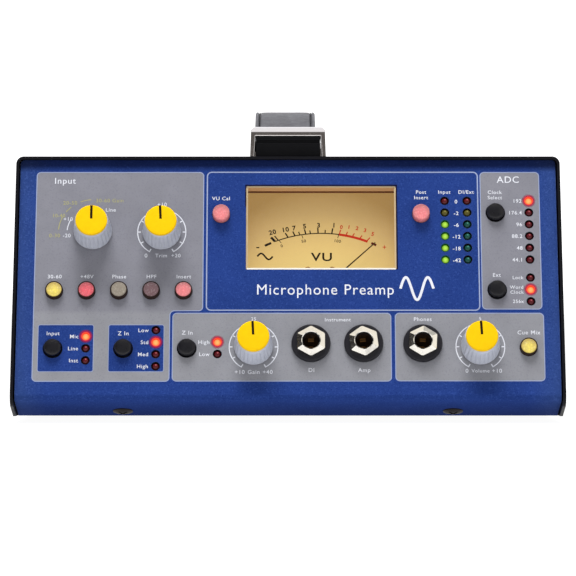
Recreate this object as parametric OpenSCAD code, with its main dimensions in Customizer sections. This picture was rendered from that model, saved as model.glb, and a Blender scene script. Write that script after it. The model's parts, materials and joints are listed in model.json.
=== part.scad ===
// Half-rack desktop microphone preamp with a leaning front panel, a VU meter and a carrying strap.
// X runs to the right, Y to the back and Z up. The origin is under the middle of the whole unit.

/* [Case] */
// Outside width over the cover
case_w = 220; // [216:1:232]
// Height from the underside to the top of the cover
case_h = 104.6; // [103:0.1:112]
// Depth from the nose of the panel to the rear edge of the cover
case_d = 240; // [232:1:270]
// Lean of the front panel from vertical, degrees
lean = 20; // [17:1:21]
// Thickness of the cover sheet
cover_t = 1.2; // [1:0.1:1.4]
// How far the cover stands proud of the panel
cover_proud = 2; // [1:0.5:2.5]
// Thickness of the front, base and rear sheets
sheet_t = 1.5; // [1.2:0.1:1.8]
// Height of the rubber feet
foot_h = 2.5; // [2.3:0.1:6]

/* [Lower fold] */
// How far the fold runs back under the nose
fold_run = 23; // [20:1:26]
// How far the fold drops over that run
fold_drop = 7; // [5:0.5:8]
// Outside radius of the bend at the nose
bend_r = 2.5; // [2:0.5:4]

/* [Knobs] */
// Height of a knob's top above the panel
knob_h = 13.6; // [12:0.2:16]
// Radius of a knob's skirt
knob_skirt_r = 7.75; // [7.4:0.05:8.2]
// Radius of a knob's coloured cap
knob_cap_r = 6.4; // [6:0.1:6.6]
// Turn of the three potentiometer knobs to the left of upright, degrees
knob_turn = 3; // [0:1:20]

/* [Buttons] */
// Radius of a lit button
lit_r = 3.15; // [2.8:0.05:3.3]
// Radius of a black button
black_r = 3.65; // [3.3:0.05:3.7]
// How far a button stands out of the panel
button_proud = 3.2; // [2.6:0.1:4]

/* [Meter] */
// Width of the meter's window
window_w = 60.5; // [56:0.5:61]
// Height of the meter's window
window_h = 36.1; // [34:0.1:36.4]
// Length of the needle from its pivot
needle_len = 28.9; // [26:0.1:32]
// Turn of the needle to the right of upright, degrees
needle_turn = 47; // [0:1:47]

/* [Strap] */
// Length of the strap and its end caps
strap_len = 190; // [170:1:192]
// Width of the strap
strap_w = 25.5; // [22:0.5:26.5]
// Height of the middle of the strap above the cover
strap_rise = 23; // [15:0.5:26]

/* [Hidden] */
$fn = 48;
cut = 1;
gap = 0.2;
base_z = foot_h;
bend_z = base_z + fold_drop;
top_z = base_z + case_h;
inner_w = case_w - 2 * cover_t;

// Where the lowest knobs reach in front of the nose, and the sockets behind the case
low_knob_v = 22.2;
knob_reach = knob_h * cos(lean) - (low_knob_v - knob_cap_r) * sin(lean);
socket_reach = 10;
nose_y = knob_reach - (case_d + knob_reach + socket_reach) / 2;
rear_y = nose_y + case_d;
rear_inset = 1;
round_out = 3;
rear_face = rear_y - rear_inset;

fold_angle = atan(fold_drop / fold_run);
lean_normal = [-cos(lean), sin(lean)];
fold_normal = [-sin(fold_angle), -cos(fold_angle)];
nose = [nose_y, bend_z];
bend_centre = nose - bend_r * (lean_normal + fold_normal) / (1 + lean_normal * fold_normal);
bend_steps = 10;

// Front sheet
panel_w = inner_w - 2 * 0.5;
panel_top = top_z - cover_t - gap;
flange_depth = 10;

// Places on the front panel: along X, and up the slope from the nose
range_at = [-78.5, 71.2];
trim_at = [-50.8, 71.1];
gain_at = [-13.7, low_knob_v];
volume_at = [76.5, low_knob_v + 0.1];
row_v = 45.8;
row_start = -93.5;
row_pitch = 12.93;
gain_button_at = [row_start, row_v];
phantom_button_at = [row_start + row_pitch, row_v];
phase_button_at = [row_start + 2 * row_pitch, row_v];
filter_button_at = [row_start + 3 * row_pitch, row_v];
insert_button_at = [row_start + 4 * row_pitch, row_v];
meter_button_at = [-26.9, 78.6];
post_button_at = [53.6, 78.7];
cue_button_at = [95.7, 21.9];
input_button_at = [-93.6, 21.5];
impedance_button_at = [-65.6, 21.5];
instrument_button_at = [-40.3, 21.6];
rate_button_at = [83.6, 79.4];
clock_button_at = [83.7, 46.3];
knob_spots = [range_at, trim_at, gain_at, volume_at];
lit_spots = [gain_button_at, phantom_button_at, phase_button_at, filter_button_at,
    insert_button_at, meter_button_at, post_button_at, cue_button_at];
black_spots = [input_button_at, impedance_button_at, instrument_button_at,
    rate_button_at, clock_button_at];
jack_v = 23.5;
jack_spots = [[9.15, jack_v], [30.1, jack_v], [53.6, jack_v]];

// Light-emitting diodes stand in columns with one pitch
led_r = 1.45;
led_top = 0.3;
led_dome = 1.3;
led_pitch = 5.06;
function column(u, top_v, count) = [for (i = [0:count - 1]) [u, top_v - i * led_pitch]];
meter_column_u = [63.2, 72.2];
meter_column_v = 84.6;
red_leds = concat(column(-80.5, 26.7, 3), column(-52.6, 29.3, 4), column(-28.1, 24.3, 2),
    column(97.1, 84.6, 6), column(97.1, 51.6, 3),
    [for (u = meter_column_u) [u, meter_column_v]]);
yellow_leds = [for (u = meter_column_u) [u, meter_column_v - led_pitch]];
green_leds = [for (u = meter_column_u) each column(u, meter_column_v - 2 * led_pitch, 4)];

// Holes in the front sheet
shaft_hole_r = 3.6;
lit_hole_r = lit_r + 0.45;
black_hole_r = black_r + 0.3;
led_hole_r = led_r + 0.35;
bush_hole_r = 4.8;

// Front circuit board, parallel to the panel
board_t = 1.6;
front_board_gap = 11;
front_board_z = -front_board_gap - board_t;
front_board_w = 208;
front_board_v = [6, 98];

// Knob
knob_lift = 0.5;
skirt_h = 2.2;
cap_t = 1.4;
knob_neck_r = knob_cap_r + 0.3;
stem_r = 3;
stem_low = -8;
running = 0.06;
flutes = 24;
flute_r = 0.8;
pointer_w = 0.8;
pointer_len = 6;
pointer_deep = 0.2;

// Button
button_travel = 2;
button_low = -1.4;
plunger_r = 1.5;
plunger_low = -5.4;
switch_top = -3.9;
switch_w = 8;
switch_hole_r = 1.8;
lit_dome = 0.4;
black_dome = 0.5;
dome_steps = 8;

// Jack
washer_r = 7.8;
washer_t = 2;
nut_flats = 11;
nut_t = 2.8;
bush_r = 4.65;
bush_top = washer_t + nut_t - 0.7;
plug_r = 3.25;
nut_mouth_r = 3.4;
jack_w = 15;
jack_tall = 18;
jack_deep = 26;
jack_floor = 1.5;

// Meter
window_at = [13.35, 73.05];
meter_w = 65;
meter_low_v = 38;
meter_high_v = window_at.y + window_h / 2 + 2.2;
meter_deep = 24;
meter_wall = 1.5;
pane_top = -0.6;
pane_step = -1.7;
pane_low = -3;
dial_z = -8;
dial_t = 0.6;
pivot_at = [13.4, 49];
needle_z = -5.8;
needle_t = 0.4;
hub_r = 2.4;
hub_low = -7.2;
hub_top = -4.8;
pivot_r = 0.5;

// Strap
strap_t = 4.5;
strap_aside = 1.2;
strap_steps = 24;
cap_len = 20;
cap_foot_w = 31;
cap_top_w = 30;
cap_h = 12.4;
cap_roof = 3.7;
cap_side = 1.7;
strap_end_h = 7.1;
strap_tip_h = 5.5;
strap_foot = 0.3;
strap_end_w = 26.4;
top_front_y = nose_y + (top_z - bend_z) * tan(lean);
strap_y0 = top_front_y + (rear_y - top_front_y - strap_len) / 2;
cap_screw_ys = [strap_y0 + cap_len / 2, strap_y0 + strap_len - cap_len / 2];
cap_screw_r = 2.4;
cap_screw_head_r = 4.4;
strap_hole_r = 3.4;

// Screws that hold the case together
screw_r = 1.45;
screw_head_r = 2.9;
screw_sink = 1;
screw_len = 6;
side_screw_z = base_z + 8;
side_screw_ys = [nose_y + 48, nose_y + 140, rear_y - 14];
high_screw_v = 90;
high_screw_deep = -6;
rear_screws_at = [[-98, base_z + 8], [0, base_z + 8], [98, base_z + 8]];
pan_head_r = 2.8;
pan_head_h = 1.8;
fold_screw_x = 66;
fold_screw_back = 7.5;
fold_head_r = 4;
fold_head_h = 1.2;

// Base
flange_h = 14;
foot_r = 7;
foot_stem_r = 2.4;
foot_stem_h = 4.5;
foot_barb_r = 3;
foot_barb_z = 4.4;
feet_at = [for (x = [-86, 86], y = [nose_y + 100, rear_y - 22]) [x, y]];

// Inside
main_board_x = [-103, 16];
main_board_y = [nose_y + 54, rear_face - 16];
standoff_h = 8;
main_board_z = base_z + sheet_t + standoff_h;
main_top = main_board_z + board_t;
standoff_r = 2.5;
front_standoffs = [for (u = [-101.5, 101.5], v = [9, 95.4]) [u, v]];
main_standoffs = [for (x = [main_board_x[0] + 5, main_board_x[1] - 5],
    y = [main_board_y[0] + 5, main_board_y[1] - 5]) [x, y]];
toroid_at = [62, rear_face - 88];
toroid_r = 38;
toroid_hole_r = 12;
toroid_h = 32;
toroid_round = 8;
clamp_r = 29;
clamp_t = 1.6;
clamp_bolt_r = 3;
can_at = [-84, rear_face - 98];
can_w = 30;
can_h = 34;
can_round = 4;
big_caps = [for (x = [-52, -30, -8], y = [rear_face - 92, rear_face - 116]) [x, y]];
small_caps = [for (x = [-90, -76, -62], y = [nose_y + 70, nose_y + 86]) [x, y]];
sink_at = [11, nose_y + 90];
sink_len = 60;
sink_h = 30;
sink_fins = 12;
sink_fin_t = 1.2;
ribbon_x = [-62, -30];
ribbon_t = 1;

// Converter card behind its own plate
card_x = [-98, -6];
card_y = [rear_face - 70, rear_face - 3];
card_z = 24;
plate_at = [-52, 30];
plate_w = 108;
plate_h = 26;
plate_t = 1.5;
plate_screw_x = 50;
slot_w = 92;
slot_h = 20;

// Rear sockets
mic_at = [-84, 72];
line_at = [-52, 72];
inlet_at = [80, 54];
rear_jack_spots = [[-22, 72], [2, 72], [26, 72]];
xlr_flange_w = 26;
xlr_flange_h = 31;
xlr_flange_t = 2;
xlr_barrel_r = 11.8;
xlr_deep = 24;
xlr_plug_r = 9.6;
xlr_core_r = 9.2;
xlr_pin_r = 1.2;
xlr_ring = 5.5;
xlr_well = 14;
xlr_pin_deep = 13;
xlr_island_r = 7.6;
xlr_screws = [[-9.5, 12], [9.5, -12]];
latch_w = 6;
latch_h = 3.4;
latch_low = -8;
latch_top = 5;
latch_travel = 2.2;
latch_y = 12.6;
inlet_w = 27;
inlet_h = 47;
inlet_flange_w = 32;
inlet_flange_h = 58;
inlet_flange_t = 3;
inlet_deep = 30;
inlet_screw_y = 26.4;
rocker_well = 12;
socket_w = 22.6;
socket_h = 16.4;
socket_deep = 17;
socket_y = -12.5;
rocker_y = 13;
rocker_w = 19;
rocker_half = 8;
rocker_pivot = -1.5;
rocker_tilt = 10;
rocker_pin_r = 1.25;

// Puts children on the panel's outer face: local X across, Y up the slope, Z out
module on_panel(spot) {
    translate([spot.x, nose_y + spot.y * sin(lean), bend_z + spot.y * cos(lean)])
        rotate([90 - lean, 0, 0])
            children();
}

// Puts children on the rear panel's outer face: local Z points backwards
module on_rear(spot) {
    translate([spot.x, rear_face, spot.y])
        rotate([90, 0, 180])
            children();
}

// Extrudes a side outline, drawn in Y and Z, across X
module across(width) {
    rotate([90, 0, 90])
        linear_extrude(width, center = true)
            children();
}

// Rounded rectangle made of true arcs
module round_rect(w, h, r) {
    square([w - 2 * r, h], center = true);
    square([w, h - 2 * r], center = true);
    for (x = [-1, 1], y = [-1, 1])
        translate([x * (w / 2 - r), y * (h / 2 - r)])
            circle(r);
}

// Side outline of the folded front at a given distance outside the sheet's outer face
function front_outline(out, high_z, low_z) = concat(
    [[nose.x + (high_z - bend_z - out * sin(lean)) * tan(lean) - out * cos(lean), high_z]],
    [for (i = [0:bend_steps])
        let (a = 180 - lean + (90 + lean - fold_angle) * i / bend_steps)
            bend_centre + (bend_r + out) * [cos(a), sin(a)]],
    [let (s = (bend_z - out * cos(fold_angle) - low_z) / sin(fold_angle))
        [nose.x - out * sin(fold_angle) + s * cos(fold_angle), low_z]]);

function backwards(points) = [for (i = [len(points) - 1:-1:0]) points[i]];

function dome(r, top, rise) = let (big = (r * r + rise * rise) / (2 * rise), span = asin(r / big))
    [for (i = [0:dome_steps])
        let (a = span * i / dome_steps)
            [big * sin(a), top - big + big * cos(a)]];

module sheet_hole(spot, r) {
    on_panel(spot)
        translate([0, 0, -sheet_t - cut])
            cylinder(r = r, h = sheet_t + 2 * cut);
}

// Countersunk screw along -Z, its head flush with Z = 0
module flush_screw(shank_r, head_r, sink, long) {
    rotate_extrude()
        polygon([[0, 0], [head_r, 0], [shank_r, -sink], [shank_r, -long], [0, -long]]);
}

module flush_hole(shank_r, head_r, sink, long) {
    rotate_extrude()
        polygon([[0, cut], [head_r + 0.05, cut], [head_r + 0.05, 0], [shank_r + 0.05, -sink],
            [shank_r + 0.05, -long], [0, -long]]);
}

module pan_screw(shank_r, head_r, head_h, long) {
    difference() {
        rotate_extrude()
            polygon(concat(dome(head_r, head_h, head_h * 0.6),
                [[head_r, 0], [shank_r, 0], [shank_r, -long], [0, -long]]));
        for (a = [0, 90])
            rotate([0, 0, a])
                translate([-head_r * 0.6, -head_r * 0.11, head_h * 0.45])
                    cube([head_r * 1.2, head_r * 0.22, head_h]);
    }
}

// Places of the side screws, seen on the right side of the case
module at_side_screws(side) {
    for (y = side_screw_ys)
        translate([side * case_w / 2, y, side_screw_z])
            rotate([0, side * 90, 0])
                children();
    high_y = nose_y + high_screw_v * sin(lean) - high_screw_deep * cos(lean);
    high_z = bend_z + high_screw_v * cos(lean) + high_screw_deep * sin(lean);
    translate([side * case_w / 2, high_y, high_z])
        rotate([0, side * 90, 0])
            children();
}

// Places on the lower fold, local Z pointing out of the sheet
module at_fold_screws() {
    for (side = [-1, 1])
        translate([side * fold_screw_x, nose_y + fold_run, base_z])
            rotate([180 - fold_angle, 0, 0])
                translate([0, fold_screw_back, 0])
                    children();
}

module chassis_base() {
    lip_end = nose_y + fold_run - 15;
    lip_gap = sheet_t / cos(fold_angle) + 0.05;
    lip_t = 1.3;
    function lip_z(y) = base_z + (nose_y + fold_run - y) * tan(fold_angle) + lip_gap;
    knee_y = nose_y + fold_run + gap;
    color("#1c1c20")
        difference() {
            union() {
                across(inner_w - 2 * gap)
                    polygon([[knee_y, base_z], [rear_face - sheet_t, base_z],
                        [rear_face - sheet_t, base_z + flange_h],
                        [rear_face - 2 * sheet_t, base_z + flange_h],
                        [rear_face - 2 * sheet_t, base_z + sheet_t],
                        [knee_y + 2, base_z + sheet_t],
                        [knee_y, lip_z(knee_y) + lip_t],
                        [lip_end, lip_z(lip_end) + lip_t],
                        [lip_end, lip_z(lip_end)],
                        [knee_y, lip_z(knee_y)]]);
                for (side = [-1, 1])
                    translate([side * (inner_w / 2 - gap - sheet_t / 2), 0, 0])
                        across(sheet_t)
                            polygon([[knee_y + 8, base_z], [rear_face - sheet_t, base_z],
                                [rear_face - sheet_t, base_z + flange_h],
                                [knee_y + 8, base_z + flange_h]]);
            }
            for (p = feet_at)
                translate([p.x, p.y, base_z - cut])
                    cylinder(r = foot_stem_r + 0.05, h = sheet_t + 2 * cut);
            translate([toroid_at.x, toroid_at.y, base_z - cut])
                cylinder(r = clamp_bolt_r + 0.1, h = sheet_t + 2 * cut);
            for (side = [-1, 1])
                at_side_screws(side)
                    translate([0, 0, -screw_len - 2])
                        cylinder(r = screw_r + 0.05, h = screw_len + 2);
            at_fold_screws()
                translate([0, 0, -screw_len])
                    cylinder(r = screw_r + 0.05, h = screw_len);
            for (p = rear_screws_at)
                on_rear(p)
                    translate([0, 0, -screw_len])
                        cylinder(r = screw_r + 0.05, h = screw_len);
        }
}

module front_panel() {
    fold_end_z = base_z + sheet_t / cos(fold_angle);
    color("#2d4b96")
        difference() {
            union() {
                intersection() {
                    across(panel_w)
                        polygon(concat(front_outline(0, panel_top, base_z),
                            backwards(front_outline(-sheet_t, panel_top, fold_end_z))));
                    under_cover(panel_w);
                }
                for (side = [-1, 1])
                    translate([side * (panel_w - sheet_t) / 2, 0, 0])
                        on_panel([0, 0])
                            translate([-sheet_t / 2, 12, -flange_depth])
                                cube([sheet_t, 84, flange_depth - sheet_t / 2]);
            }
            for (p = knob_spots)
                sheet_hole(p, shaft_hole_r);
            for (p = lit_spots)
                sheet_hole(p, lit_hole_r);
            for (p = black_spots)
                sheet_hole(p, black_hole_r);
            for (p = jack_spots)
                sheet_hole(p, bush_hole_r);
            for (p = concat(red_leds, yellow_leds, green_leds))
                sheet_hole(p, led_hole_r);
            on_panel(window_at)
                translate([0, 0, -sheet_t - cut])
                    linear_extrude(sheet_t + 2 * cut)
                        round_rect(window_w, window_h, 0.6);
            for (side = [-1, 1])
                at_side_screws(side)
                    translate([0, 0, -screw_len])
                        cylinder(r = screw_r + 0.05, h = screw_len);
            at_fold_screws()
                translate([0, 0, -screw_len])
                    cylinder(r = screw_r + 0.05, h = screw_len + cut);
        }
}

module cover_section(w, top, r) {
    low = base_z - 2 * cut;
    translate([-w / 2, low])
        square([w, top - r - low]);
    translate([-w / 2 + r, low])
        square([w - 2 * r, top - low]);
    for (side = [-1, 1])
        translate([side * (w / 2 - r), top - r])
            circle(r);
}

// Everything that fits inside the cover's round upper corners
module under_cover(w) {
    translate([0, rear_y, 0])
        rotate([90, 0, 0])
            linear_extrude(case_d + 10)
                cover_section(w, panel_top, round_out - cover_t - gap);
}

module top_cover() {
    vents = 11;
    vent_pitch = 8;
    vent_r = 1.4;
    vent_low = base_z + 34;
    vent_high = base_z + 78;
    vent_y0 = rear_y - 30 - vents * vent_pitch;
    color("#19191e")
        difference() {
            intersection() {
                translate([0, rear_y, 0])
                    rotate([90, 0, 0])
                        linear_extrude(case_d + 10)
                            difference() {
                                cover_section(case_w, top_z, round_out);
                                translate([0, -cut])
                                    cover_section(inner_w, top_z - cover_t + cut, round_out - cover_t);
                            }
                across(case_w + 2 * cut)
                    polygon(concat(front_outline(cover_proud, top_z, base_z),
                        [[rear_y, base_z], [rear_y, top_z]]));
            }
            for (side = [-1, 1])
                at_side_screws(side)
                    flush_hole(screw_r, screw_head_r, screw_sink, screw_len);
            for (y = cap_screw_ys)
                translate([0, y, top_z - cover_t - cut])
                    cylinder(r = cap_screw_r + 0.1, h = cover_t + 2 * cut);
            for (i = [0:vents - 1])
                translate([0, vent_y0 + i * vent_pitch, 0])
                    rotate([0, 90, 0])
                        for (z = [vent_low, vent_high])
                            translate([-z, 0, 0])
                                cylinder(r = vent_r, h = case_w + 2 * cut, center = true, $fn = 24);
            for (i = [0:vents - 1])
                translate([-case_w / 2 - cut, vent_y0 + i * vent_pitch - vent_r, vent_low])
                    cube([case_w + 2 * cut, 2 * vent_r, vent_high - vent_low]);
        }
}

module rear_panel() {
    color("#1c1c20")
        difference() {
            intersection() {
                across(inner_w - 2 * gap)
                    polygon([[rear_face, base_z], [rear_face, panel_top],
                        [rear_face - sheet_t, panel_top], [rear_face - sheet_t, base_z]]);
                under_cover(inner_w - 2 * gap);
            }
            for (p = [mic_at, line_at])
                on_rear(p)
                    translate([0, 0, -sheet_t - cut])
                        cylinder(r = xlr_barrel_r + 0.1, h = sheet_t + 2 * cut);
            for (p = [mic_at, line_at], q = xlr_screws)
                on_rear([p.x - q.x, p.y + q.y])
                    translate([0, 0, -sheet_t - cut])
                        cylinder(r = screw_r + 0.05, h = sheet_t + 2 * cut);
            on_rear(mic_at)
                translate([-latch_w / 2 - 0.4, latch_y - 4, -sheet_t - cut])
                    cube([latch_w + 0.8, 6.5, sheet_t + 2 * cut]);
            for (p = rear_jack_spots)
                on_rear(p)
                    translate([0, 0, -sheet_t - cut])
                        cylinder(r = bush_hole_r, h = sheet_t + 2 * cut);
            for (p = rear_screws_at)
                on_rear(p)
                    translate([0, 0, -sheet_t - cut])
                        cylinder(r = screw_r + 0.05, h = sheet_t + 2 * cut);
            on_rear(inlet_at)
                translate([0, 0, -sheet_t - cut])
                    linear_extrude(sheet_t + 2 * cut)
                        square([inlet_w + 0.4, inlet_h + 0.4], center = true);
            on_rear(plate_at)
                translate([0, 0, -sheet_t - cut])
                    linear_extrude(sheet_t + 2 * cut)
                        round_rect(slot_w, slot_h, 1);
            for (side = [-1, 1])
                on_rear([plate_at.x + side * plate_screw_x, plate_at.y])
                    translate([0, 0, -sheet_t - cut])
                        cylinder(r = screw_r + 0.05, h = sheet_t + 2 * cut);
        }
}

module feet() {
    color("#26262a")
        for (p = feet_at)
            translate([p.x, p.y, 0])
                rotate_extrude()
                    polygon([[0, 0.6], [2, 0.6], [2.4, 0], [foot_r - 0.8, 0], [foot_r, 0.8],
                        [foot_r, foot_h], [foot_stem_r, foot_h], [foot_stem_r, foot_barb_z],
                        [foot_barb_r, foot_barb_z], [foot_stem_r - 0.4, foot_h + foot_stem_h],
                        [0, foot_h + foot_stem_h]]);
}

module case_screws() {
    color("#3a3a3e") {
        for (side = [-1, 1])
            at_side_screws(side)
                difference() {
                    flush_screw(screw_r, screw_head_r, screw_sink, screw_len);
                    for (a = [0, 90])
                        rotate([0, 0, a])
                            translate([-1.6, -0.3, -0.7])
                                cube([3.2, 0.6, cut]);
                }
        for (p = rear_screws_at)
            on_rear(p)
                pan_screw(screw_r, pan_head_r, pan_head_h, screw_len);
        for (p = [mic_at, line_at], q = xlr_screws)
            on_rear([p.x - q.x, p.y + q.y])
                translate([0, 0, xlr_flange_t])
                    pan_screw(screw_r, pan_head_r, pan_head_h, screw_len + xlr_flange_t);
        for (side = [-1, 1])
            on_rear([plate_at.x + side * plate_screw_x, plate_at.y])
                translate([0, 0, plate_t])
                    pan_screw(screw_r, pan_head_r, pan_head_h, screw_len + plate_t);
        for (y = cap_screw_ys)
            translate([0, y, top_z + cap_h])
                difference() {
                    flush_screw(cap_screw_r, cap_screw_head_r, 2, cap_h + 8);
                    for (a = [0, 90])
                        rotate([0, 0, a])
                            translate([-2.6, -0.45, -1.2])
                                cube([5.2, 0.9, 2 * cut]);
                }
    }
}

module panel_screws() {
    color("#1a1a1d")
        at_fold_screws()
            difference() {
                rotate_extrude()
                    polygon(concat(dome(fold_head_r, fold_head_h, 0.9),
                        [[fold_head_r, 0], [screw_r, 0], [screw_r, -screw_len + 1],
                            [0, -screw_len + 1]]));
                for (a = [45, 135])
                    rotate([0, 0, a])
                        translate([-fold_head_r * 0.6, -0.4, fold_head_h - 0.7])
                            cube([fold_head_r * 1.2, 0.8, fold_head_h]);
            }
}

module strap_end_caps() {
    color("#d8d8dc")
        for (y = cap_screw_ys)
            translate([0, y, top_z])
                difference() {
                    rotate([90, 0, 0])
                        linear_extrude(cap_len, center = true)
                            difference() {
                                polygon([[-cap_foot_w / 2, 0], [cap_foot_w / 2, 0],
                                    [cap_top_w / 2 + 0.1, cap_h - 1], [cap_top_w / 2 - 0.9, cap_h],
                                    [-cap_top_w / 2 + 0.9, cap_h], [-cap_top_w / 2 - 0.1, cap_h - 1]]);
                                polygon([[-cap_foot_w / 2 + cap_side, -cut],
                                    [cap_foot_w / 2 - cap_side, -cut],
                                    [cap_top_w / 2 - cap_side, cap_h - cap_roof],
                                    [-cap_top_w / 2 + cap_side, cap_h - cap_roof]]);
                            }
                    translate([0, 0, cap_h])
                        flush_hole(cap_screw_r, cap_screw_head_r, 2, cap_h);
                }
}

// Height of the strap's top face above the cover, from one cap (0) to the other (1)
function strap_top(s) = strap_foot + strap_end_h
    + (strap_rise - strap_foot - strap_end_h) * (1 - cos(360 * s)) / 2;

module handle_strap() {
    free = strap_len - 2 * cap_len;
    y0 = strap_y0 + cap_len;
    color("#2e2e33")
        difference() {
            union() {
                translate([-strap_aside, 0, 0])
                    across(strap_w)
                        polygon(concat(
                            [for (i = [0:strap_steps])
                                [y0 + free * i / strap_steps, top_z + strap_top(i / strap_steps)]],
                            [for (i = [strap_steps:-1:0])
                                [y0 + free * i / strap_steps,
                                    top_z + max(strap_foot, strap_top(i / strap_steps) - strap_t)]]));
                for (side = [-1, 1])
                    translate([0, y0 + free / 2 + side * free / 2, top_z + strap_foot])
                        across(strap_end_w)
                            polygon([[0, 0], [side * cap_len, 0], [side * cap_len, strap_tip_h],
                                [0, strap_end_h]]);
            }
            for (y = cap_screw_ys)
                translate([0, y, top_z])
                    cylinder(r = strap_hole_r, h = cap_h);
        }
}

module front_board() {
    tall = front_board_v[1] - front_board_v[0];
    color("#1f5f37")
        difference() {
            on_panel([0, front_board_v[0]])
                translate([-front_board_w / 2, 0, front_board_z])
                    cube([front_board_w, tall, board_t]);
            on_panel(window_at)
                translate([-meter_w / 2 - 1, meter_low_v - window_at.y - 1, front_board_z - cut])
                    cube([meter_w + 2, meter_high_v - meter_low_v + 2, board_t + 2 * cut]);
            on_panel([jack_spots[0].x - jack_w / 2 - 1, 0])
                translate([0, 0, front_board_z - cut])
                    cube([jack_spots[2].x - jack_spots[0].x + jack_w + 2,
                        jack_v + jack_tall / 2 + 1, board_t + 2 * cut]);
        }
}

module main_board() {
    color("#1f5f37")
        translate([main_board_x[0], main_board_y[0], main_board_z])
            cube([main_board_x[1] - main_board_x[0], main_board_y[1] - main_board_y[0], board_t]);
}

module standoffs() {
    color("#b8b8be") {
        for (p = front_standoffs)
            on_panel(p)
                translate([0, 0, -front_board_gap])
                    cylinder(r = standoff_r, h = front_board_gap - sheet_t);
        for (p = main_standoffs)
            translate([p.x, p.y, base_z + sheet_t])
                cylinder(r = standoff_r, h = standoff_h);
    }
}

module mains_transformer() {
    mid_r = (toroid_r + toroid_hole_r) / 2;
    color("#c9a13a")
        translate([toroid_at.x, toroid_at.y, base_z + sheet_t + toroid_h / 2])
            rotate_extrude()
                translate([mid_r, 0])
                    round_rect(toroid_r - toroid_hole_r, toroid_h, toroid_round);
}

module transformer_clamp() {
    low = base_z + sheet_t + toroid_h;
    head_h = 1.6;
    color("#8c8c92")
        translate([toroid_at.x, toroid_at.y, 0]) {
            difference() {
                rotate_extrude()
                    polygon([[0, low], [clamp_r, low], [clamp_r, low + clamp_t],
                        [toroid_hole_r, low + clamp_t], [toroid_hole_r - 3, low + clamp_t + 1],
                        [0, low + clamp_t + 1]]);
                translate([0, 0, low - cut])
                    cylinder(r = clamp_bolt_r + 0.1, h = clamp_t + 2 + 2 * cut);
            }
            rotate_extrude()
                polygon([[0, base_z - head_h], [6, base_z - head_h], [6, base_z],
                    [clamp_bolt_r, base_z], [clamp_bolt_r, low + clamp_t + 8],
                    [0, low + clamp_t + 8]]);
            difference() {
                translate([0, 0, low + clamp_t + 1])
                    cylinder(r = 5.8, h = 5, $fn = 6);
                translate([0, 0, low + clamp_t])
                    cylinder(r = clamp_bolt_r + 0.02, h = 8);
            }
        }
}

module input_transformer() {
    color("#a9a9af")
        translate([can_at.x, can_at.y, main_top])
            linear_extrude(can_h)
                round_rect(can_w, can_w, can_round);
}

module can_capacitor(r, h) {
    rotate_extrude()
        polygon([[0, 0], [r, 0], [r, h * 0.1], [r - 0.5, h * 0.13], [r, h * 0.16],
            [r, h - 0.8], [r - 0.8, h], [0, h]]);
}

module capacitors() {
    color("#23364f") {
        for (p = big_caps)
            translate([p.x, p.y, main_top])
                can_capacitor(9, 30);
        for (p = small_caps)
            translate([p.x, p.y, main_top])
                can_capacitor(4, 12);
    }
}

module power_regulators() {
    fin_pitch = (sink_len - sink_fin_t) / (sink_fins - 1);
    plate_t2 = 3;
    fin_w = 6;
    color("#9a9aa0") {
        translate([sink_at.x - 4, sink_at.y - sink_len / 2, main_top])
            linear_extrude(sink_h) {
                square([plate_t2, sink_len]);
                for (i = [0:sink_fins - 1])
                    translate([plate_t2, i * fin_pitch])
                        square([fin_w, sink_fin_t]);
            }
        for (i = [-1:1])
            translate([sink_at.x - 8.6, sink_at.y + i * 18 - 5, main_top + 8])
                cube([4.5, 10, 15]);
    }
}

module ribbon_cable() {
    start = [nose_y + 17.5, bend_z + 9.5];
    dip = [nose_y + 30, main_top + 2];
    finish = [main_board_y[0] + 8, main_top + 0.2];
    color("#8d8f96")
        translate([(ribbon_x[0] + ribbon_x[1]) / 2, 0, 0])
            across(ribbon_x[1] - ribbon_x[0])
                polygon([start, dip, [dip.x + 8, finish.y + 0.3], finish,
                    [finish.x, finish.y + ribbon_t], [dip.x + 8.3, finish.y + 0.3 + ribbon_t],
                    [dip.x + 0.6, dip.y + ribbon_t], [start.x + 1, start.y + 0.7]]);
}

module converter_card() {
    color("#17593a")
        translate([card_x[0], card_y[0], card_z])
            cube([card_x[1] - card_x[0], card_y[1] - card_y[0], board_t]);
}

// Bayonet socket with its two lugs and its centre contact
module bayonet_socket() {
    collar_r = 6.3;
    collar_h = 2;
    barrel_r = 4.8;
    lug_r = 0.9;
    lug_z = 4.6;
    difference() {
        union() {
            cylinder(r = collar_r, h = collar_h);
            cylinder(r = barrel_r, h = socket_reach + rear_inset - plate_t - 0.01);
            translate([0, 0, lug_z])
                rotate([90, 0, 0])
                    cylinder(r = lug_r, h = 11, center = true, $fn = 24);
        }
        translate([0, 0, collar_h])
            cylinder(r = barrel_r - 0.8, h = socket_reach + cut);
    }
    cylinder(r = lug_r, h = socket_reach - 3);
}

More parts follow.
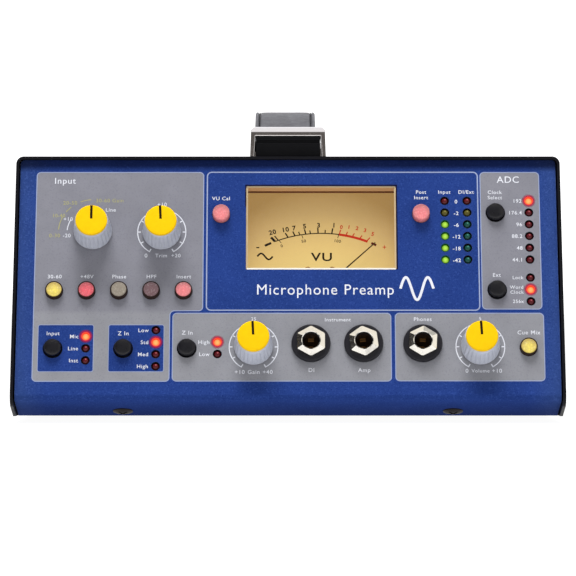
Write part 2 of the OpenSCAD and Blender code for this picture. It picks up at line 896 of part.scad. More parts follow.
// Slot plate with a nine-way socket, a phono socket and two bayonet sockets
module card_plate() {
    bayonets = [[-40, 0], [-20, 0]];
    phono = [0, 0];
    nine_way = [26, 0];
    socket_seat = plate_t + 0.01;
    color("#c4c4ca")
        on_rear([plate_at.x, plate_at.y]) {
            difference() {
                linear_extrude(plate_t)
                    round_rect(plate_w, plate_h, 1);
                for (side = [-1, 1])
                    translate([side * plate_screw_x, 0, -cut])
                        cylinder(r = screw_r + 0.05, h = plate_t + 2 * cut);
            }
            for (p = bayonets)
                translate([p.x, p.y, socket_seat])
                    bayonet_socket();
            translate([phono.x, phono.y, socket_seat])
                difference() {
                    cylinder(r = 4.1, h = 8);
                    translate([0, 0, 1])
                        cylinder(r = 1.7, h = 8);
                }
            translate([nine_way.x, nine_way.y, socket_seat])
                difference() {
                    linear_extrude(5)
                        round_rect(19, 9.5, 2.5);
                    translate([0, 0, 1])
                        linear_extrude(5)
                            round_rect(17.4, 7.9, 1.8);
                }
            for (side = [-1, 1])
                translate([nine_way.x + side * 12.5, nine_way.y, socket_seat])
                    cylinder(r = 2.9, h = 4.5, $fn = 6);
        }
}

module mains_inlet() {
    rocker_room = rocker_half + 0.45;
    color("#202024")
        on_rear(inlet_at)
            difference() {
                union() {
                    linear_extrude(inlet_flange_t)
                        round_rect(inlet_flange_w, inlet_flange_h, 3);
                    translate([-inlet_w / 2, -inlet_h / 2, -inlet_deep])
                        cube([inlet_w, inlet_h, inlet_deep]);
                }
                translate([0, socket_y, inlet_flange_t - socket_deep])
                    linear_extrude(socket_deep + cut)
                        polygon([[-socket_w / 2, -socket_h / 2], [socket_w / 2, -socket_h / 2],
                            [socket_w / 2, socket_h / 2 - 5], [socket_w / 2 - 5, socket_h / 2],
                            [-socket_w / 2 + 5, socket_h / 2], [-socket_w / 2, socket_h / 2 - 5]]);
                translate([-rocker_w / 2 - 0.3, rocker_y - rocker_room, -rocker_well])
                    cube([rocker_w + 0.6, 2 * rocker_room, rocker_well + inlet_flange_t + cut]);
                translate([0, rocker_y, rocker_pivot])
                    rotate([0, 90, 0])
                        cylinder(r = rocker_pin_r + running, h = rocker_w + 4.6, center = true);
                for (side = [-1, 1])
                    translate([0, side * inlet_screw_y, -cut])
                        cylinder(r = 1.6, h = inlet_flange_t + 2 * cut);
            }
}

module power_rocker() {
    color("#b3242a")
        on_rear([inlet_at.x, inlet_at.y + rocker_y])
            translate([0, 0, rocker_pivot])
                rotate([rocker_tilt, 0, 0]) {
                    intersection() {
                        rotate([0, 90, 0])
                            cylinder(r = rocker_half, h = rocker_w, center = true);
                        rocker_outline();
                    }
                    rotate([0, 90, 0])
                        cylinder(r = rocker_pin_r, h = rocker_w + 4, center = true);
                }
}

// Side outline of the rocker: two faces that meet in a shallow valley
module rocker_outline() {
    high = 5.6;
    valley = 4.2;
    rotate([90, 0, 90])
        linear_extrude(rocker_w + 2, center = true)
            polygon([[-rocker_half - 1, high], [0, valley], [rocker_half + 1, high],
                [rocker_half + 1, -3], [-rocker_half - 1, -3]]);
}

module xlr_flange() {
    difference() {
        linear_extrude(xlr_flange_t)
            round_rect(xlr_flange_w, xlr_flange_h, 2.5);
        for (q = xlr_screws)
            translate([q.x, q.y, -cut])
                cylinder(r = screw_r + 0.05, h = xlr_flange_t + 2 * cut);
    }
}

module mic_socket() {
    color("#2a2a2e")
        on_rear(mic_at)
            difference() {
                union() {
                    xlr_flange();
                    translate([0, 0, -xlr_deep])
                        cylinder(r = xlr_barrel_r, h = xlr_deep);
                }
                difference() {
                    translate([0, 0, -xlr_well])
                        cylinder(r = xlr_plug_r, h = xlr_well + xlr_flange_t + cut);
                    translate([0, 0, -xlr_well - cut])
                        cylinder(r = xlr_island_r, h = xlr_well + cut / 2);
                }
                for (a = [90, 210, 330])
                    translate([xlr_ring * cos(a), xlr_ring * sin(a), -xlr_pin_deep])
                        cylinder(r = xlr_pin_r + 0.1, h = xlr_pin_deep, $fn = 24);
                translate([-latch_w / 2 - 0.3, latch_y - latch_h / 2 - 0.3, latch_low - latch_travel - 0.5])
                    cube([latch_w + 0.6, latch_h + 0.6, 20]);
            }
}

module mic_latch() {
    color("#c8c8cc")
        on_rear(mic_at)
            translate([-latch_w / 2, latch_y - latch_h / 2, latch_low])
                cube([latch_w, latch_h, latch_top - latch_low]);
}

module line_output() {
    color("#2a2a2e")
        on_rear(line_at)
            difference() {
                union() {
                    xlr_flange();
                    translate([0, 0, -xlr_deep])
                        cylinder(r = xlr_barrel_r, h = xlr_deep);
                }
                translate([0, 0, -xlr_well])
                    cylinder(r = xlr_core_r, h = xlr_well + xlr_flange_t + cut);
            }
}

module contact_pins() {
    color("#cfb26a") {
        on_rear(line_at)
            for (a = [30, 150, 270])
                translate([xlr_ring * 0.9 * cos(a), xlr_ring * 0.9 * sin(a), -xlr_well])
                    rotate_extrude($fn = 24)
                        polygon([[0, 0], [xlr_pin_r, 0], [xlr_pin_r, 12], [xlr_pin_r - 0.5, 12.8],
                            [0, 13]]);
        on_rear([inlet_at.x, inlet_at.y + socket_y]) {
            for (side = [-1, 1])
                translate([side * 7 - 1, -3.2, inlet_flange_t - socket_deep])
                    cube([2, 4, 14]);
            translate([-1, 1.8, inlet_flange_t - socket_deep])
                cube([2, 4, 15]);
        }
    }
}

module jack_body(deep) {
    difference() {
        union() {
            translate([-jack_w / 2, -jack_tall / 2, -deep])
                cube([jack_w, jack_tall, deep - sheet_t - 0.05]);
            translate([0, 0, -sheet_t - 1])
                cylinder(r = bush_r, h = sheet_t + 1 + bush_top);
        }
        translate([0, 0, -deep + jack_floor])
            cylinder(r = plug_r, h = deep + bush_top);
    }
}

module jack_bodies() {
    color("#222226") {
        for (p = jack_spots)
            on_panel(p)
                jack_body(jack_deep);
        for (p = rear_jack_spots)
            on_rear(p)
                jack_body(jack_deep);
    }
}

module jack_washer() {
    rotate_extrude()
        polygon([[bush_r + 0.1, 0], [washer_r, 0], [washer_r, washer_t - 0.5],
            [washer_r - 0.6, washer_t], [bush_r + 0.1, washer_t]]);
}

module jack_washers() {
    color("#1b1b1e") {
        for (p = jack_spots)
            on_panel(p)
                jack_washer();
        for (p = rear_jack_spots)
            on_rear(p)
                jack_washer();
    }
}

module jack_nut(turn) {
    across_corners = nut_flats / cos(30);
    translate([0, 0, washer_t])
        difference() {
            intersection() {
                rotate([0, 0, 30 + turn])
                    cylinder(d = across_corners, h = nut_t, $fn = 6);
                rotate_extrude()
                    polygon([[0, 0], [across_corners / 2 + 0.1, 0],
                        [across_corners / 2 + 0.1, nut_t - 0.7],
                        [nut_flats / 2 - 0.2, nut_t], [0, nut_t]]);
            }
            translate([0, 0, -cut])
                cylinder(r = bush_r + 0.05, h = nut_t - 0.6 + cut);
            cylinder(r = nut_mouth_r, h = nut_t + cut);
        }
}

module jack_nuts() {
    turns = [0, 7, -3];
    color("#c9c9c6") {
        for (i = [0:2])
            on_panel(jack_spots[i])
                jack_nut(turns[i]);
        for (i = [0:2])
            on_rear(rear_jack_spots[i])
                jack_nut(-turns[i] + 4);
    }
}

module vu_case() {
    tall = meter_high_v - meter_low_v;
    color("#2b2b2f")
        on_panel([window_at.x, meter_low_v])
            difference() {
                translate([-meter_w / 2, 0, -sheet_t - 0.1 - meter_deep])
                    cube([meter_w, tall, meter_deep]);
                translate([-meter_w / 2 + meter_wall, meter_wall,
                    -sheet_t - 0.1 - meter_deep + meter_wall])
                    cube([meter_w - 2 * meter_wall, tall - 2 * meter_wall, meter_deep]);
            }
}

module vu_dial() {
    low_v = pivot_at.y + hub_r + 1;
    color("#f0d286")
        on_panel([window_at.x, low_v])
            translate([-meter_w / 2 + meter_wall + 0.1, 0, dial_z - dial_t])
                cube([meter_w - 2 * meter_wall - 0.2, meter_high_v - meter_wall - 0.1 - low_v, dial_t]);
}

module vu_window() {
    rim = 0.7;
    color([0.9, 0.95, 1, 0.35])
        on_panel(window_at) {
            translate([0, 0, pane_step - 0.05])
                linear_extrude(pane_top - pane_step + 0.05)
                    round_rect(window_w - 0.3, window_h - 0.3, 0.5);
            translate([0, 0, pane_low])
                linear_extrude(pane_step - pane_low)
                    round_rect(window_w + 2 * rim, window_h + 2 * rim, 0.5);
        }
}

module vu_movement() {
    case_floor = -sheet_t - 0.1 - meter_deep + meter_wall;
    color("#7d7d84")
        on_panel(pivot_at) {
            translate([-13, -5, case_floor])
                cube([26, 8, 10]);
            difference() {
                translate([0, 0, case_floor + 10])
                    cylinder(r = 6, h = 5);
                translate([0, 3, case_floor + 9])
                    translate([-8, 0, 0])
                        cube([16, 8, 8]);
            }
            translate([0, 0, case_floor + 14])
                cylinder(r = pivot_r, h = -case_floor - 14 + hub_top + 0.6, $fn = 24);
        }
}

module vu_needle() {
    tail = 5;
    color("#1d1d1f")
        on_panel(pivot_at)
            rotate([0, 0, -needle_turn])
                difference() {
                    union() {
                        translate([0, 0, hub_low])
                            cylinder(r = hub_r, h = hub_top - hub_low);
                        translate([0, 0, needle_z])
                            linear_extrude(needle_t)
                                polygon([[-1.1, -tail], [1.1, -tail], [0.45, 0],
                                    [0.2, needle_len - 1], [0, needle_len], [-0.2, needle_len - 1],
                                    [-0.45, 0]]);
                    }
                    translate([0, 0, hub_low - cut])
                        cylinder(r = pivot_r + running, h = 6, $fn = 24);
                }
}

module led(spot) {
    flange_low = -sheet_t - 1.2;
    on_panel(spot)
        rotate_extrude($fn = 24)
            polygon(concat(dome(led_r, led_top, led_dome),
                [[led_r, -sheet_t - 0.1], [led_r + 0.3, -sheet_t - 0.1],
                    [led_r + 0.3, flange_low], [0.4, flange_low],
                    [0.4, -front_board_gap], [0, -front_board_gap]]));
}

module leds_red() {
    color("#7a1c22")
        for (p = red_leds)
            led(p);
}

module leds_yellow() {
    color("#8a7a1c")
        for (p = yellow_leds)
            led(p);
}

module leds_green() {
    color("#4aa03c")
        for (p = green_leds)
            led(p);
}

module switch_bodies() {
    color("#3b3b40")
        for (p = concat(lit_spots, black_spots))
            on_panel(p)
                difference() {
                    translate([-switch_w / 2, -switch_w / 2, -front_board_gap])
                        cube([switch_w, switch_w, front_board_gap + switch_top]);
                    translate([0, 0, plunger_low - button_travel - 0.5])
                        cylinder(r = switch_hole_r, h = 10, $fn = 24);
                }
}

module pot_bodies() {
    pot_w = 13;
    pot_top = -sheet_t - 0.8;
    color("#30466e")
        for (p = knob_spots)
            on_panel(p)
                difference() {
                    translate([-pot_w / 2, -pot_w / 2, -front_board_gap])
                        cube([pot_w, pot_w, front_board_gap + pot_top]);
                    translate([0, 0, stem_low - 0.3])
                        cylinder(r = stem_r + running, h = 12);
                }
}

// Knob with a moulded stem, in its own frame on the panel
module knob(turn) {
    seat = knob_h - cap_t;
    rotate([0, 0, turn])
        difference() {
            rotate_extrude()
                polygon([[0, stem_low], [stem_r, stem_low], [stem_r, knob_lift + 1.5],
                    [knob_skirt_r - 1.2, knob_lift + 1.5], [knob_skirt_r - 1.2, knob_lift],
                    [knob_skirt_r - 0.2, knob_lift], [knob_skirt_r, knob_lift + 0.3],
                    [knob_skirt_r - 0.05, skirt_h], [knob_neck_r, seat - 0.5],
                    [knob_neck_r - 0.3, seat], [0, seat]]);
            for (i = [0:flutes - 1])
                rotate([0, 0, (i + 0.5) * 360 / flutes])
                    translate([knob_skirt_r + 0.45, 0, 0])
                        cylinder(r = flute_r, h = seat - 1.4, $fn = 16);
        }
}

module knob_cap(turn) {
    seat = knob_h - cap_t;
    rotate([0, 0, turn])
        difference() {
            rotate_extrude()
                polygon([[0, seat], [knob_cap_r, seat], [knob_cap_r, knob_h - 0.35],
                    [knob_cap_r - 0.1, knob_h - 0.1], [knob_cap_r - 0.35, knob_h], [0, knob_h]]);
            translate([-pointer_w / 2, knob_cap_r - pointer_len, knob_h - pointer_deep])
                cube([pointer_w, pointer_len + cut, 2 * pointer_deep]);
        }
}

module turned_knob(spot, turn) {
    color("#a3a6b1")
        on_panel(spot)
            knob(turn);
}

module turned_cap(spot, turn) {
    color("#ffd414")
        on_panel(spot)
            knob_cap(turn);
}

module range_knob() { turned_knob(range_at, 0); }
module range_cap() { turned_cap(range_at, 0); }
module trim_knob() { turned_knob(trim_at, knob_turn); }
module trim_cap() { turned_cap(trim_at, knob_turn); }
module gain_knob() { turned_knob(gain_at, knob_turn); }
module gain_cap() { turned_cap(gain_at, knob_turn); }
module volume_knob() { turned_knob(volume_at, knob_turn); }
module volume_cap() { turned_cap(volume_at, knob_turn); }

// Push button with its plunger
module button(spot, r, rise) {
    edge = 0.3;
    on_panel(spot)
        rotate_extrude()
            polygon(concat(dome(r - edge, button_proud, rise),
                [[r, button_proud - rise - edge], [r, button_low], [plunger_r, button_low],
                    [plunger_r, plunger_low], [0, plunger_low]]));
}

module gain_button() { color("#fae680") button(gain_button_at, lit_r, lit_dome); }
module phantom_button() { color("#fa7080") button(phantom_button_at, lit_r, lit_dome); }
module phase_button() { color("#a79a8c") button(phase_button_at, lit_r, lit_dome); }
module filter_button() { color("#8b6a6e") button(filter_button_at, lit_r, lit_dome); }
module insert_button() { color("#f08989") button(insert_button_at, lit_r, lit_dome); }
module meter_button() { color("#fa9291") button(meter_button_at, lit_r, lit_dome); }
module post_button() { color("#fa9291") button(post_button_at, lit_r, lit_dome); }
module cue_button() { color("#fef38a") button(cue_button_at, lit_r, lit_dome); }
module input_button() { color("#26262a") button(input_button_at, black_r, black_dome); }
module impedance_button() { color("#26262a") button(impedance_button_at, black_r, black_dome); }
module instrument_button() { color("#26262a") button(instrument_button_at, black_r, black_dome); }
module rate_button() { color("#26262a") button(rate_button_at, black_r, black_dome); }
module clock_button() { color("#26262a") button(clock_button_at, black_r, black_dome); }

chassis_base();
front_panel();
top_cover();
rear_panel();
feet();
case_screws();
panel_screws();
strap_end_caps();
handle_strap();
front_board();
main_board();
standoffs();
mains_transformer();
transformer_clamp();
input_transformer();
capacitors();
power_regulators();
ribbon_cable();
converter_card();
card_plate();
mains_inlet();
power_rocker();
mic_socket();
mic_latch();
line_output();
contact_pins();
jack_bodies();
jack_washers();
jack_nuts();
vu_case();
vu_dial();
vu_window();
vu_movement();
vu_needle();
leds_red();
leds_yellow();
leds_green();
switch_bodies();
pot_bodies();
range_knob();
range_cap();
trim_knob();
trim_cap();
gain_knob();
gain_cap();
volume_knob();
volume_cap();
gain_button();
phantom_button();
phase_button();
filter_button();
insert_button();
meter_button();
post_button();
cue_button();
input_button();
impedance_button();
instrument_button();
rate_button();
clock_button();
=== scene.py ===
"""Looks of a desktop microphone preamp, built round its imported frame."""
import json
import math

import bmesh
import bpy
from mathutils import Matrix, Vector


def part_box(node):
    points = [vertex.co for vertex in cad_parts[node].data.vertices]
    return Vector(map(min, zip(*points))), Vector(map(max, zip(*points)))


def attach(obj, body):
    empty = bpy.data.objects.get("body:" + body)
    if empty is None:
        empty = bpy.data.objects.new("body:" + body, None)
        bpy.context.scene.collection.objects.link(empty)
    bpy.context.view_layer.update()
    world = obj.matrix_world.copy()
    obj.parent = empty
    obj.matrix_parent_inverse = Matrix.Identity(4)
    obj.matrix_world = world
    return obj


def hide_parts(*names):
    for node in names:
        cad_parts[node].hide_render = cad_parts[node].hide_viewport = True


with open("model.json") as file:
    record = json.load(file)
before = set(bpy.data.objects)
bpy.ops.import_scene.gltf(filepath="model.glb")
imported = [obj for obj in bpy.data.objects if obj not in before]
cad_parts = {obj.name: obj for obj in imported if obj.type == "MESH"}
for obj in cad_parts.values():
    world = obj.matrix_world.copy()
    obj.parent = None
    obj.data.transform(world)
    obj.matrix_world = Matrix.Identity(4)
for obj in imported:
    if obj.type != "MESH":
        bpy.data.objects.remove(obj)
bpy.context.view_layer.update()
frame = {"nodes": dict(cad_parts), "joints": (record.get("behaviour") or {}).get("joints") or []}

MM = 0.001

# ---------------------------------------------------------------- places, from the frame
joints = {j["name"]: j for j in frame["joints"]}
X = Vector((1, 0, 0))
Y = Vector((0, 1, 0))
Z = Vector((0, 0, 1))
RANGE_AT = (-78.5, 71.2)     # the range knob, in millimetres across and up the panel
OUT = Vector(joints["range_turn"]["axis"]).normalized()
UP = OUT.cross(X)
NOSE = Vector(joints["range_turn"]["pos_m"]) - (X * RANGE_AT[0] + UP * RANGE_AT[1]) * MM


def basis(x, y, z, origin):
    """Matrix that takes millimetres along three directions to metres in the row frame."""
    m = Matrix((x, y, z)).transposed().to_4x4() @ Matrix.Scale(MM, 4)
    m.translation = origin
    return m


PANEL = basis(X, UP, OUT, NOSE)
REAR = basis(-X, Z, Y, Vector((0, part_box("rear_panel")[1].y, 0)))


def on_panel(u, v, w=0.0, turn=0.0):
    return PANEL @ Matrix.Translation((u, v, w)) @ Matrix.Rotation(math.radians(turn), 4, "Z")


def on_rear(x, z, w=0.0, turn=0.0):
    return REAR @ Matrix.Translation((-x, z, w)) @ Matrix.Rotation(math.radians(turn), 4, "Z")


def joint_spot(name):
    """Where a joint's axis meets the panel, in millimetres across and up."""
    p = Vector(joints[name]["pos_m"]) - NOSE
    return p.dot(X) / MM, p.dot(UP) / MM


def node_spot(name):
    """Middle of a round CAD node on the panel, in millimetres across and up."""
    points = [v.co - NOSE for v in frame["nodes"][name].data.vertices]
    across = [p.dot(X) / MM for p in points]
    up = [p.dot(UP) / MM for p in points]
    return (min(across) + max(across)) / 2, (min(up) + max(up)) / 2


def node_height(name):
    """How far a CAD node stands out of the panel, in millimetres."""
    return max((v.co - NOSE).dot(OUT) for v in frame["nodes"][name].data.vertices) / MM


# ---------------------------------------------------------------- materials
def srgb(r, g, b, alpha=1.0):
    def linear(c):
        c /= 255
        return c / 12.92 if c <= 0.04045 else ((c + 0.055) / 1.055) ** 2.4
    return (linear(r), linear(g), linear(b), alpha)


LIGHT_LEVEL = 1.5    # how bright a white card on the panel would be, as the floor is 1


def dimmed(colour):
    """Surface colour that looks like the given one under the studio's light."""
    return tuple(c / LIGHT_LEVEL for c in colour[:3]) + (1,)


class Look:
    """A Principled material with colour clouds, roughness spread, grain and worn edges."""

    def __init__(self, name, colour, roughness=0.5, metallic=0.0, **sockets):
        self.material = bpy.data.materials.new(name)
        self.material.use_nodes = True
        self.tree = self.material.node_tree
        self.shader = self.tree.nodes["Principled BSDF"]
        self.colour = colour if metallic else dimmed(colour)
        self.roughness = roughness
        self.shader.inputs["Base Color"].default_value = self.colour
        self.shader.inputs["Roughness"].default_value = roughness
        self.shader.inputs["Metallic"].default_value = metallic
        self.shader.inputs["IOR"].default_value = 1.45 if metallic else 1.2
        for socket, value in sockets.items():
            self.shader.inputs[socket.replace("_", " ")].default_value = value
        coordinates = self.add("ShaderNodeTexCoord")
        scaled = self.add("ShaderNodeVectorMath", operation="SCALE")
        scaled.inputs["Scale"].default_value = 1 / MM
        self.join(coordinates.outputs["Object"], scaled.inputs[0])
        self.place = scaled.outputs[0]
        self.colour_out = None
        self.normal_out = None

    def add(self, kind, **settings):
        node = self.tree.nodes.new(kind)
        for key, value in settings.items():
            setattr(node, key, value)
        return node

    def join(self, a, b):
        self.tree.links.new(a, b)

    def give(self, value, socket):
        """Joins another node's output to a socket, or sets the socket to a number or colour."""
        if isinstance(value, bpy.types.NodeSocket):
            self.join(value, socket)
        else:
            socket.default_value = value

    def maths(self, operation, *values):
        node = self.add("ShaderNodeMath", operation=operation)
        for value, socket in zip(values, node.inputs):
            self.give(value, socket)
        return node.outputs[0]

    def dot(self, a, b):
        node = self.add("ShaderNodeVectorMath", operation="DOT_PRODUCT")
        self.give(a, node.inputs[0])
        self.give(b, node.inputs[1])
        return node.outputs["Value"]

    def texture(self, kind, per_mm, stretch, **settings):
        """Texture node in millimetres of the row frame, stretched along the axes."""
        mapping = self.add("ShaderNodeMapping")
        mapping.inputs["Scale"].default_value = stretch
        self.join(self.place, mapping.inputs["Vector"])
        node = self.add(kind, **settings)
        node.inputs["Scale"].default_value = per_mm
        self.join(mapping.outputs["Vector"], node.inputs["Vector"])
        return node

    def noise(self, per_mm, detail=3.0, stretch=(1, 1, 1)):
        node = self.texture("ShaderNodeTexNoise", per_mm, stretch)
        node.inputs["Detail"].default_value = detail
        node.inputs["Roughness"].default_value = 0.55
        return node.outputs["Fac"]

    def cells(self, per_mm, stretch=(1, 1, 1), feature="F1"):
        return self.texture("ShaderNodeTexVoronoi", per_mm, stretch, feature=feature).outputs["Distance"]

    def spread(self, value, low, high, from_low=0.3, from_high=0.7):
        """The value's range from_low to from_high, stretched to the range low to high."""
        node = self.add("ShaderNodeMapRange")
        for socket, given in (("Value", value), ("From Min", from_low), ("From Max", from_high),
                              ("To Min", low), ("To Max", high)):
            self.give(given, node.inputs[socket])
        return node.outputs["Result"]

    def along(self, direction, start, end, low=0.0, high=1.0):
        """A number that runs from low to high between two distances, in mm from the nose."""
        shifted = self.add("ShaderNodeVectorMath", operation="SUBTRACT")
        shifted.inputs[1].default_value = NOSE / MM
        self.join(self.place, shifted.inputs[0])
        return self.spread(self.dot(shifted.outputs[0], direction), low, high, start, end)

    def facing(self, direction, start, end):
        """A number that runs from 0 to 1 as the surface turns towards a direction."""
        normal = self.add("ShaderNodeNewGeometry").outputs["Normal"]
        return self.spread(self.dot(normal, direction), 0, 1, start, end)

    def mix(self, factor, a, b, blend="MIX"):
        node = self.add("ShaderNodeMix", data_type="RGBA", blend_type=blend)
        for socket, value in ((0, factor), (6, a), (7, b)):
            self.give(value, node.inputs[socket])
        return node.outputs[2]

    def paint(self, output):
        self.colour_out = output
        self.join(output, self.shader.inputs["Base Color"])
        return self

    def base(self):
        return self.colour_out if self.colour_out else self.colour

    def clouds(self, per_mm, amount):
        """Soft patches, lighter and darker than the colour."""
        dark = tuple(c * (1 - amount) for c in self.colour[:3]) + (1,)
        light = tuple(min(1, c * (1 + amount)) for c in self.colour[:3]) + (1,)
        return self.paint(self.mix(self.spread(self.noise(per_mm), 0, 1), dark, light))

    def speckle(self, per_mm, colour, amount, threshold=0.62):
        factor = self.spread(self.noise(per_mm, 2), 0, amount, threshold, threshold + 0.1)
        return self.paint(self.mix(factor, self.base(), dimmed(colour)))

    def uneven(self, per_mm, amount):
        """Roughness that varies, as handling and dust leave it."""
        low = max(0.02, self.roughness - amount)
        value = self.spread(self.noise(per_mm, 4), low, min(1, self.roughness + amount))
        self.join(value, self.shader.inputs["Roughness"])
        return self

    def bump(self, height, depth_mm, strength=0.6):
        node = self.add("ShaderNodeBump")
        node.inputs["Strength"].default_value = strength
        node.inputs["Distance"].default_value = depth_mm * MM
        self.join(height, node.inputs["Height"])
        if self.normal_out:
            self.join(self.normal_out, node.inputs["Normal"])
        self.normal_out = node.outputs["Normal"]
        self.join(self.normal_out, self.shader.inputs["Normal"])
        return self

    def bevelled(self, radius_mm):
        bevel = self.add("ShaderNodeBevel", samples=4)
        bevel.inputs["Radius"].default_value = radius_mm * MM
        return bevel.outputs["Normal"]

    def rounded_edges(self, radius_mm):
        """Edges shaded as if rounded, for sheet metal whose mesh stays as it is."""
        self.normal_out = self.bevelled(radius_mm)
        return self

    def grain(self, per_mm, depth_mm, strength=0.6, stretch=(1, 1, 1)):
        return self.bump(self.noise(per_mm, 3, stretch), depth_mm, strength)

    def worn_edges(self, colour, width_mm, amount):
        """Edges rubbed towards another colour."""
        geometry = self.add("ShaderNodeNewGeometry")
        flatness = self.dot(self.bevelled(width_mm), geometry.outputs["True Normal"])
        edge = self.spread(flatness, amount, 0, 0.80, 0.97)
        patches = self.spread(self.noise(0.9, 3), 0.2, 1, 0.4, 0.6)
        return self.paint(self.mix(self.maths("MULTIPLY", edge, patches), self.base(), dimmed(colour)))

    def shaded(self, factor, colour):
        """Colour multiplied where the factor is one: darker for painted shade or reflection, lighter for
        painted light, or tinted.
        """
        return self.paint(self.mix(factor, self.base(), colour, "MULTIPLY"))

    def lit(self, tone, power):
        """Light given off by the surface, the same all over or by a pattern: a lamp's light from inside, or
        painted light.
        """
        self.give(tone, self.shader.inputs["Emission Color"])
        self.give(power, self.shader.inputs["Emission Strength"])
        return self

    def glow(self, dark, bright, strength, dim=0.0, pattern=None):
        """Light given off by the mesh's own glow attribute, 0 at the edge and 1 in the middle: a lamp's light
        from inside, or painted light.
        """
        factor = self.add("ShaderNodeAttribute", attribute_name="glow").outputs["Fac"]
        power = self.spread(factor, dim, strength, 0, 1)
        if pattern:
            power = self.maths("MULTIPLY", power, pattern)
        return self.lit(self.mix(factor, dark, bright), power)


def coat(name, colour, roughness=0.42, grit=0.012):
    """Powder-coated sheet: fine orange-peel and dust in the roughness."""
    return Look(name, colour, roughness).clouds(0.03, 0.10).uneven(0.12, 0.07).grain(3.2, grit, 0.5)


def metal(name, colour, roughness=0.25, brush=(1, 1, 1), depth=0.004):
    look = Look(name, colour, roughness, 1.0).clouds(0.15, 0.06)
    return look.uneven(0.7, min(0.08, roughness * 0.6)).grain(5.0, depth, 0.35, brush)


def plastic(name, colour, roughness=0.4, grit=0.006, **sockets):
    return Look(name, colour, roughness, **sockets).clouds(0.12, 0.05).uneven(0.5, 0.06).grain(4.0, grit, 0.4)


CAP_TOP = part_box("strap_end_caps")[1].z / MM
PAINTED_HIGHLIGHT_EDGES = (CAP_TOP - 2.2 - NOSE.z / MM, CAP_TOP - 1.9 - NOSE.z / MM)    # lower edge of the painted highlight along the caps' top


def cap_chrome():
    """Bright metal with painted reflections: its front a little darker below a painted highlight along its
    top, its sides much darker.
    """
    look = metal("chrome", srgb(236, 236, 240), 0.07, depth=0.0015)
    # painted reflection: darker below the highlight and on both sides
    look.shaded(look.along(Z, PAINTED_HIGHLIGHT_EDGES[1], PAINTED_HIGHLIGHT_EDGES[0]), (0.9, 0.85, 0.8, 1))
    look.shaded(look.facing(X, 0.6, 0.9), (0.22, 0.21, 0.2, 1))
    look.shaded(look.facing(-X, 0.6, 0.9), (0.15, 0.14, 0.13, 1))
    # painted highlight: light given off along the top of the front
    bar = look.along(Z, *PAINTED_HIGHLIGHT_EDGES, 0, 0.72)
    return look.lit(srgb(250, 246, 248), look.maths("MULTIPLY", look.facing(-Y, 0.5, 0.8), bar))


blue = Look("blue_enamel", srgb(43, 69, 141), 0.4, Specular_IOR_Level=0.0)
blue.clouds(0.05, 0.10).speckle(1.3, srgb(58, 86, 164), 0.6, 0.55).speckle(2.1, srgb(26, 46, 116), 0.65, 0.56)
blue.rounded_edges(0.25).uneven(0.2, 0.07).grain(2.2, 0.02, 0.35).worn_edges(srgb(120, 140, 190), 0.35, 0.6)
# painted shade: the lower fold darker towards its bottom, as it faces down
blue.shaded(blue.along(-Z, -1, 7), (0.85, 0.62, 0.56, 1))
# painted shadow of the cover's lip across the panel's top
blue.shaded(blue.along(UP, 97.2, 99.8), (0.5, 0.42, 0.42, 1))
# painted light: the panel lighter towards its left and right ends
for outwards in (X, -X):
    blue.shaded(blue.along(outwards, 96, 106), (1.5, 1.32, 1.06, 1))
black_coat = coat("black_coat", srgb(20, 20, 25)).worn_edges(srgb(70, 70, 76), 0.2, 0.35)
inner_coat = coat("inner_coat", srgb(40, 40, 45), 0.5)
print_grey = plastic("print_grey", srgb(146, 146, 155), 0.42, 0.008)
print_grey.speckle(1.6, srgb(128, 128, 141), 0.5, 0.56)
# painted light: the grey areas lighter in their lowest part, below the knobs' shade
print_grey.shaded(print_grey.along(-UP, -38, -36), (1.15, 1.16, 1.11, 1))
print_line = plastic("print_line", srgb(166, 178, 212), 0.4, 0.004)
print_white = plastic("print_white", srgb(248, 250, 258), 0.4, 0.004)
print_straw = plastic("print_straw", srgb(190, 186, 116), 0.4, 0.004)
# navy that stands for a painted shadow along the meter window's edge
painted_shadow_navy = plastic("painted_shadow_navy", srgb(24, 20, 50), 0.5, 0.004)
print_black = plastic("print_black", srgb(30, 20, 10), 0.5, 0.003).lit(srgb(44, 30, 16), 0.15)
print_red = plastic("print_red", srgb(176, 40, 20), 0.5, 0.003).lit(srgb(190, 46, 24), 0.5)
print_oxide = plastic("print_oxide", srgb(104, 26, 20), 0.5, 0.003)
# the needle's dark ink, with painted light: it glows faintly
needle_ink_painted_glow = plastic("needle_ink_painted_glow", srgb(66, 50, 24), 0.4, 0.003).lit(srgb(70, 54, 24), 0.4)

knob_grey = Look("knob_grey", srgb(212, 216, 229), 0.44)
knob_grey.clouds(0.3, 0.05).uneven(0.8, 0.06).grain(6, 0.01, 0.5).worn_edges(srgb(232, 234, 240), 0.2, 0.5)
cap_yellow = Look("cap_yellow", srgb(268, 216, 10), 0.34)
cap_yellow.clouds(0.35, 0.04).uneven(0.6, 0.06).grain(7, 0.006, 0.4)
pointer_ink = plastic("pointer_ink", srgb(34, 26, 14), 0.5, 0.004)
button_black = Look("button_black", srgb(16, 15, 22), 0.34, IOR=1.4)
button_black.clouds(0.4, 0.10).uneven(0.9, 0.08).grain(2.6, 0.05, 0.7).worn_edges(srgb(74, 74, 82), 0.3, 0.5)
# black lining of holes: round the buttons it is painted shade of the gap; round the diodes it is their holder
# and the holes' shade
sleeve_black_and_painted_shade = plastic("sleeve_black_and_painted_shade", srgb(9, 9, 11), 0.6, 0.006)
bezel_brown = plastic("bezel_brown", srgb(52, 38, 34), 0.5, 0.01)
# painted light: holders round lit diodes, coloured and glowing with their diodes' light
holder_painted_green_glow = plastic("holder_painted_green_glow", srgb(18, 82, 46), 0.4, 0.006)
holder_painted_red_glow = plastic("holder_painted_red_glow", srgb(190, 60, 40), 0.4, 0.006).lit(srgb(236, 70, 44), 0.7)


